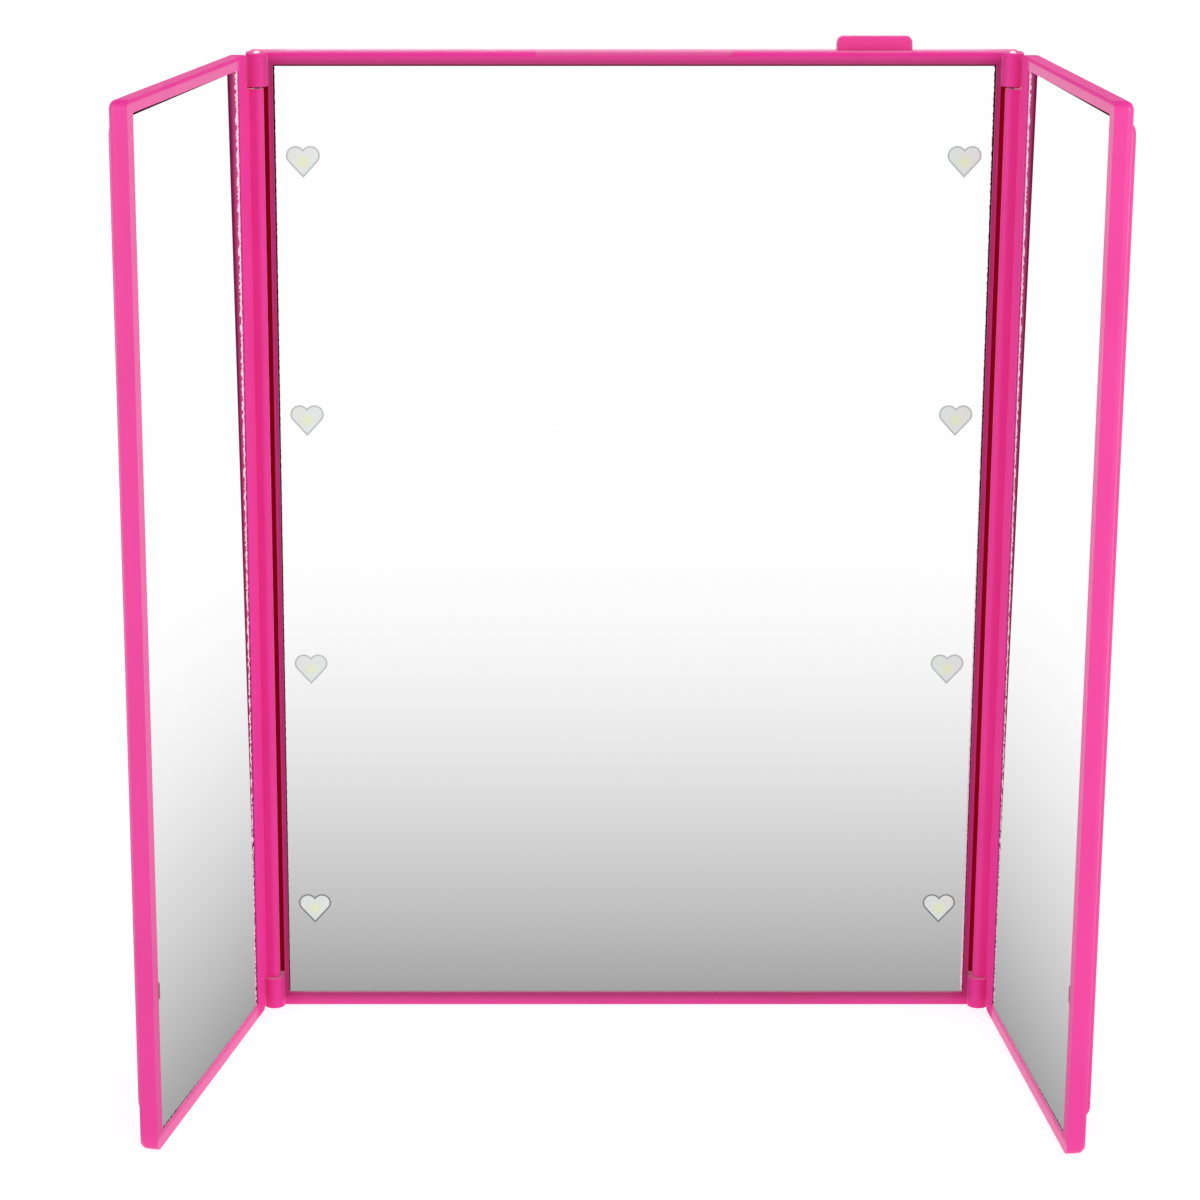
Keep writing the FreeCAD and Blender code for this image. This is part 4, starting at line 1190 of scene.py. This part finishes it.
# %% Battery cells
CELL_NUB = 1.0 * MM
CELL_NUB_RADIUS = 1.9 * MM
CELL_ROUND = 0.5 * MM
CELL_EDGE = 0.05 * MM

low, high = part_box("battery_cell_1")
cell_radius = (high.x - low.x) / 2
cell_length = high.z - low.z - CELL_NUB
cell = rod("flat_battery_cell", cell_radius, 0, 0, 0, cell_length)
pick(cell, "FACE", at(2, cell_length))
bpy.ops.mesh.inset(thickness=cell_radius - CELL_NUB_RADIUS)
bpy.ops.mesh.extrude_region_move(TRANSFORM_OT_translate={"value": (0, 0, CELL_NUB)})
leave_edit_mode()
rims = (cell_radius, cell_radius, CELL_NUB_RADIUS)
levels = (0, cell_length, cell_length + CELL_NUB)
round_off(cell, CELL_ROUND, 4, lambda ends: any(
    at(2, level)(ends) and abs(Vector((end.x, end.y)).length - rim) < TINY * 20
    for rim, level in zip(rims, levels) for end in ends[:1]))
soften(cell, CELL_EDGE)
keep_flat_place(cell)
wrap = cell_wrap(cell_length)
for number in range(1, 5):
    low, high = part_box("battery_cell_%d" % number)
    piece = twin(cell, "battery_cell_body_%d" % number)
    if number % 2:
        turned = Matrix.Rotation(math.radians(180), 4, "X")
        lift = high.z
    else:
        turned = Matrix.Identity(4)
        lift = low.z
    middle = ((low.x + high.x) / 2, (low.y + high.y) / 2, lift)
    piece.data.transform(Matrix.Translation(middle) @ turned)
    fit(piece, "centre_panel", "cell_wrap", [wrap], "battery_cell_%d" % number)
bpy.data.objects.remove(cell)

# %% [markdown]
# ## Finishes for the inner parts
# The lamps, boards, contacts, foam and wires keep their CAD shapes, which are as simple as the real
# parts. They show only when the door is off or the housing is opened, and each gets its own finish.

# %% Lamps and boards
def lamp_finish():
    """A white lamp body with a pale yellow filling in its cup."""
    material, start = new_finish("pale_lamp")
    place = place_on_piece(start)
    sideways, upright = from_lamp(place)
    distance = start.sum("SQRT", sideways * sideways + upright * upright)
    filling = 1 - rise(distance, 1.1 * MM, 1.25 * MM)
    grain = clouds(place, 0.3 * MM)
    body = blend(grain, colour(0.80, 0.80, 0.77), colour(0.86, 0.86, 0.84))
    surface(start, {
        "Base Color": blend(filling, body, colour(0.83, 0.80, 0.32)),
        "Roughness": 0.3 + 0.2 * grain,
    })
    return material


def board_finish():
    """White lacquer over copper tracks that show as faint ridges."""
    material, start = new_finish("white_board")
    place = place_on_piece(start)
    weave = clouds(place, 0.5 * MM, 3.0)
    track = rise(abs((part_of(place, 0) % (2.6 * MM)) - 1.3 * MM), 0.35 * MM, 0.45 * MM)
    lacquer = blend(weave, colour(0.72, 0.74, 0.70), colour(0.80, 0.81, 0.78))
    surface(start, {
        "Base Color": blend(track, colour(0.62, 0.66, 0.58), lacquer),
        "Roughness": 0.35 + 0.15 * weave,
        "Normal": dents(1 - track, 0.03 * MM, 0.6),
    })
    return material


finish_of_slot = {"steel": steel, "lamp": lamp_finish(), "circuit_board": board_finish()}
print("finishes for", *finish_of_slot)

# %% Contacts, switch, foam and wires
def grained(name, size, deep, bright, rough=(0.36, 0.52), stretch=1.0, metallic=0.0, depth=0.0):
    """A fine grain that changes colour and gloss, and the surface too where it has a depth."""
    material, start = new_finish(name)
    grain = clouds(stretched(place_on_piece(start), stretch, 1.0, 1.0), size, 3.0)
    look = {"Base Color": blend(grain, deep, bright), "Roughness": between(grain, *rough)}
    look["Metallic"] = metallic
    if depth:
        look["Normal"] = dents(grain, depth, 0.5)
    surface(start, look)
    return material


def white_foam():
    material, start = new_finish("white_foam")
    place = place_on_piece(start)
    bubbles = {"Vector": place, "Scale": 1 / (0.5 * MM)}
    pores = rise(place.node("ShaderNodeTexVoronoi", None, bubbles, output="Distance"), 0.1, 0.6)
    surface(start, {
        # darker in the pores: painted shade
        "Base Color": blend(pores, colour(0.55, 0.55, 0.53), colour(0.80, 0.80, 0.77)),
        "Roughness": 0.85 + 0.1 * pores,
        "Normal": dents(pores, 0.12 * MM, 0.8),
    })
    return material


finish_of_slot["foam"] = white_foam()
finish_of_slot["contact_metal"] = grained(
    "nickel_contact", 0.3 * MM, colour(0.60, 0.58, 0.54), colour(0.74, 0.72, 0.68),
    rough=(0.22, 0.42), stretch=0.15, metallic=1.0)
finish_of_slot["switch_body"] = grained(
    "black_switch", 0.2 * MM, colour(0.012, 0.012, 0.013), colour(0.03, 0.03, 0.032),
    rough=(0.42, 0.62), depth=0.02 * MM)
finish_of_slot["wire_red"] = grained(
    "red_insulation", 0.4 * MM, colour(0.36, 0.008, 0.008), colour(0.50, 0.015, 0.012))
finish_of_slot["wire_black"] = grained(
    "black_insulation", 0.4 * MM, colour(0.010, 0.010, 0.011), colour(0.022, 0.022, 0.024))
print("finishes for", *finish_of_slot)

# %% Finish the CAD nodes that stay
kept = 0
for subpart in frame["record"]["subparts"]:
    finish = finish_of_slot.get(subpart["material_slot"])
    if finish is None:
        continue
    for place in frame["nodes"][subpart["node"]].material_slots:
        place.material = finish
    kept += 1
print(kept, "CAD nodes have their finish")

# %% [markdown]
# ## Clean reflections
# The photo's three mirrors show only the white room fading to grey, and none of the pink parts around
# them. Ray visibility does that: every piece is left out of the reflections in the others.

# %% Clean reflections
pieces = list(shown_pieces())
for piece in pieces:
    piece.visible_glossy = False
print(len(pieces), "pieces stay out of reflections")

# %% [markdown]
# ## The dressed box
# The dressed model's box is printed here, as the CAD box was at the start.

# %% Print the dressed box
low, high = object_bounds()
print("dressed box in mm:", [round((b - a) / MM, 1) for a, b in zip(low, high)])
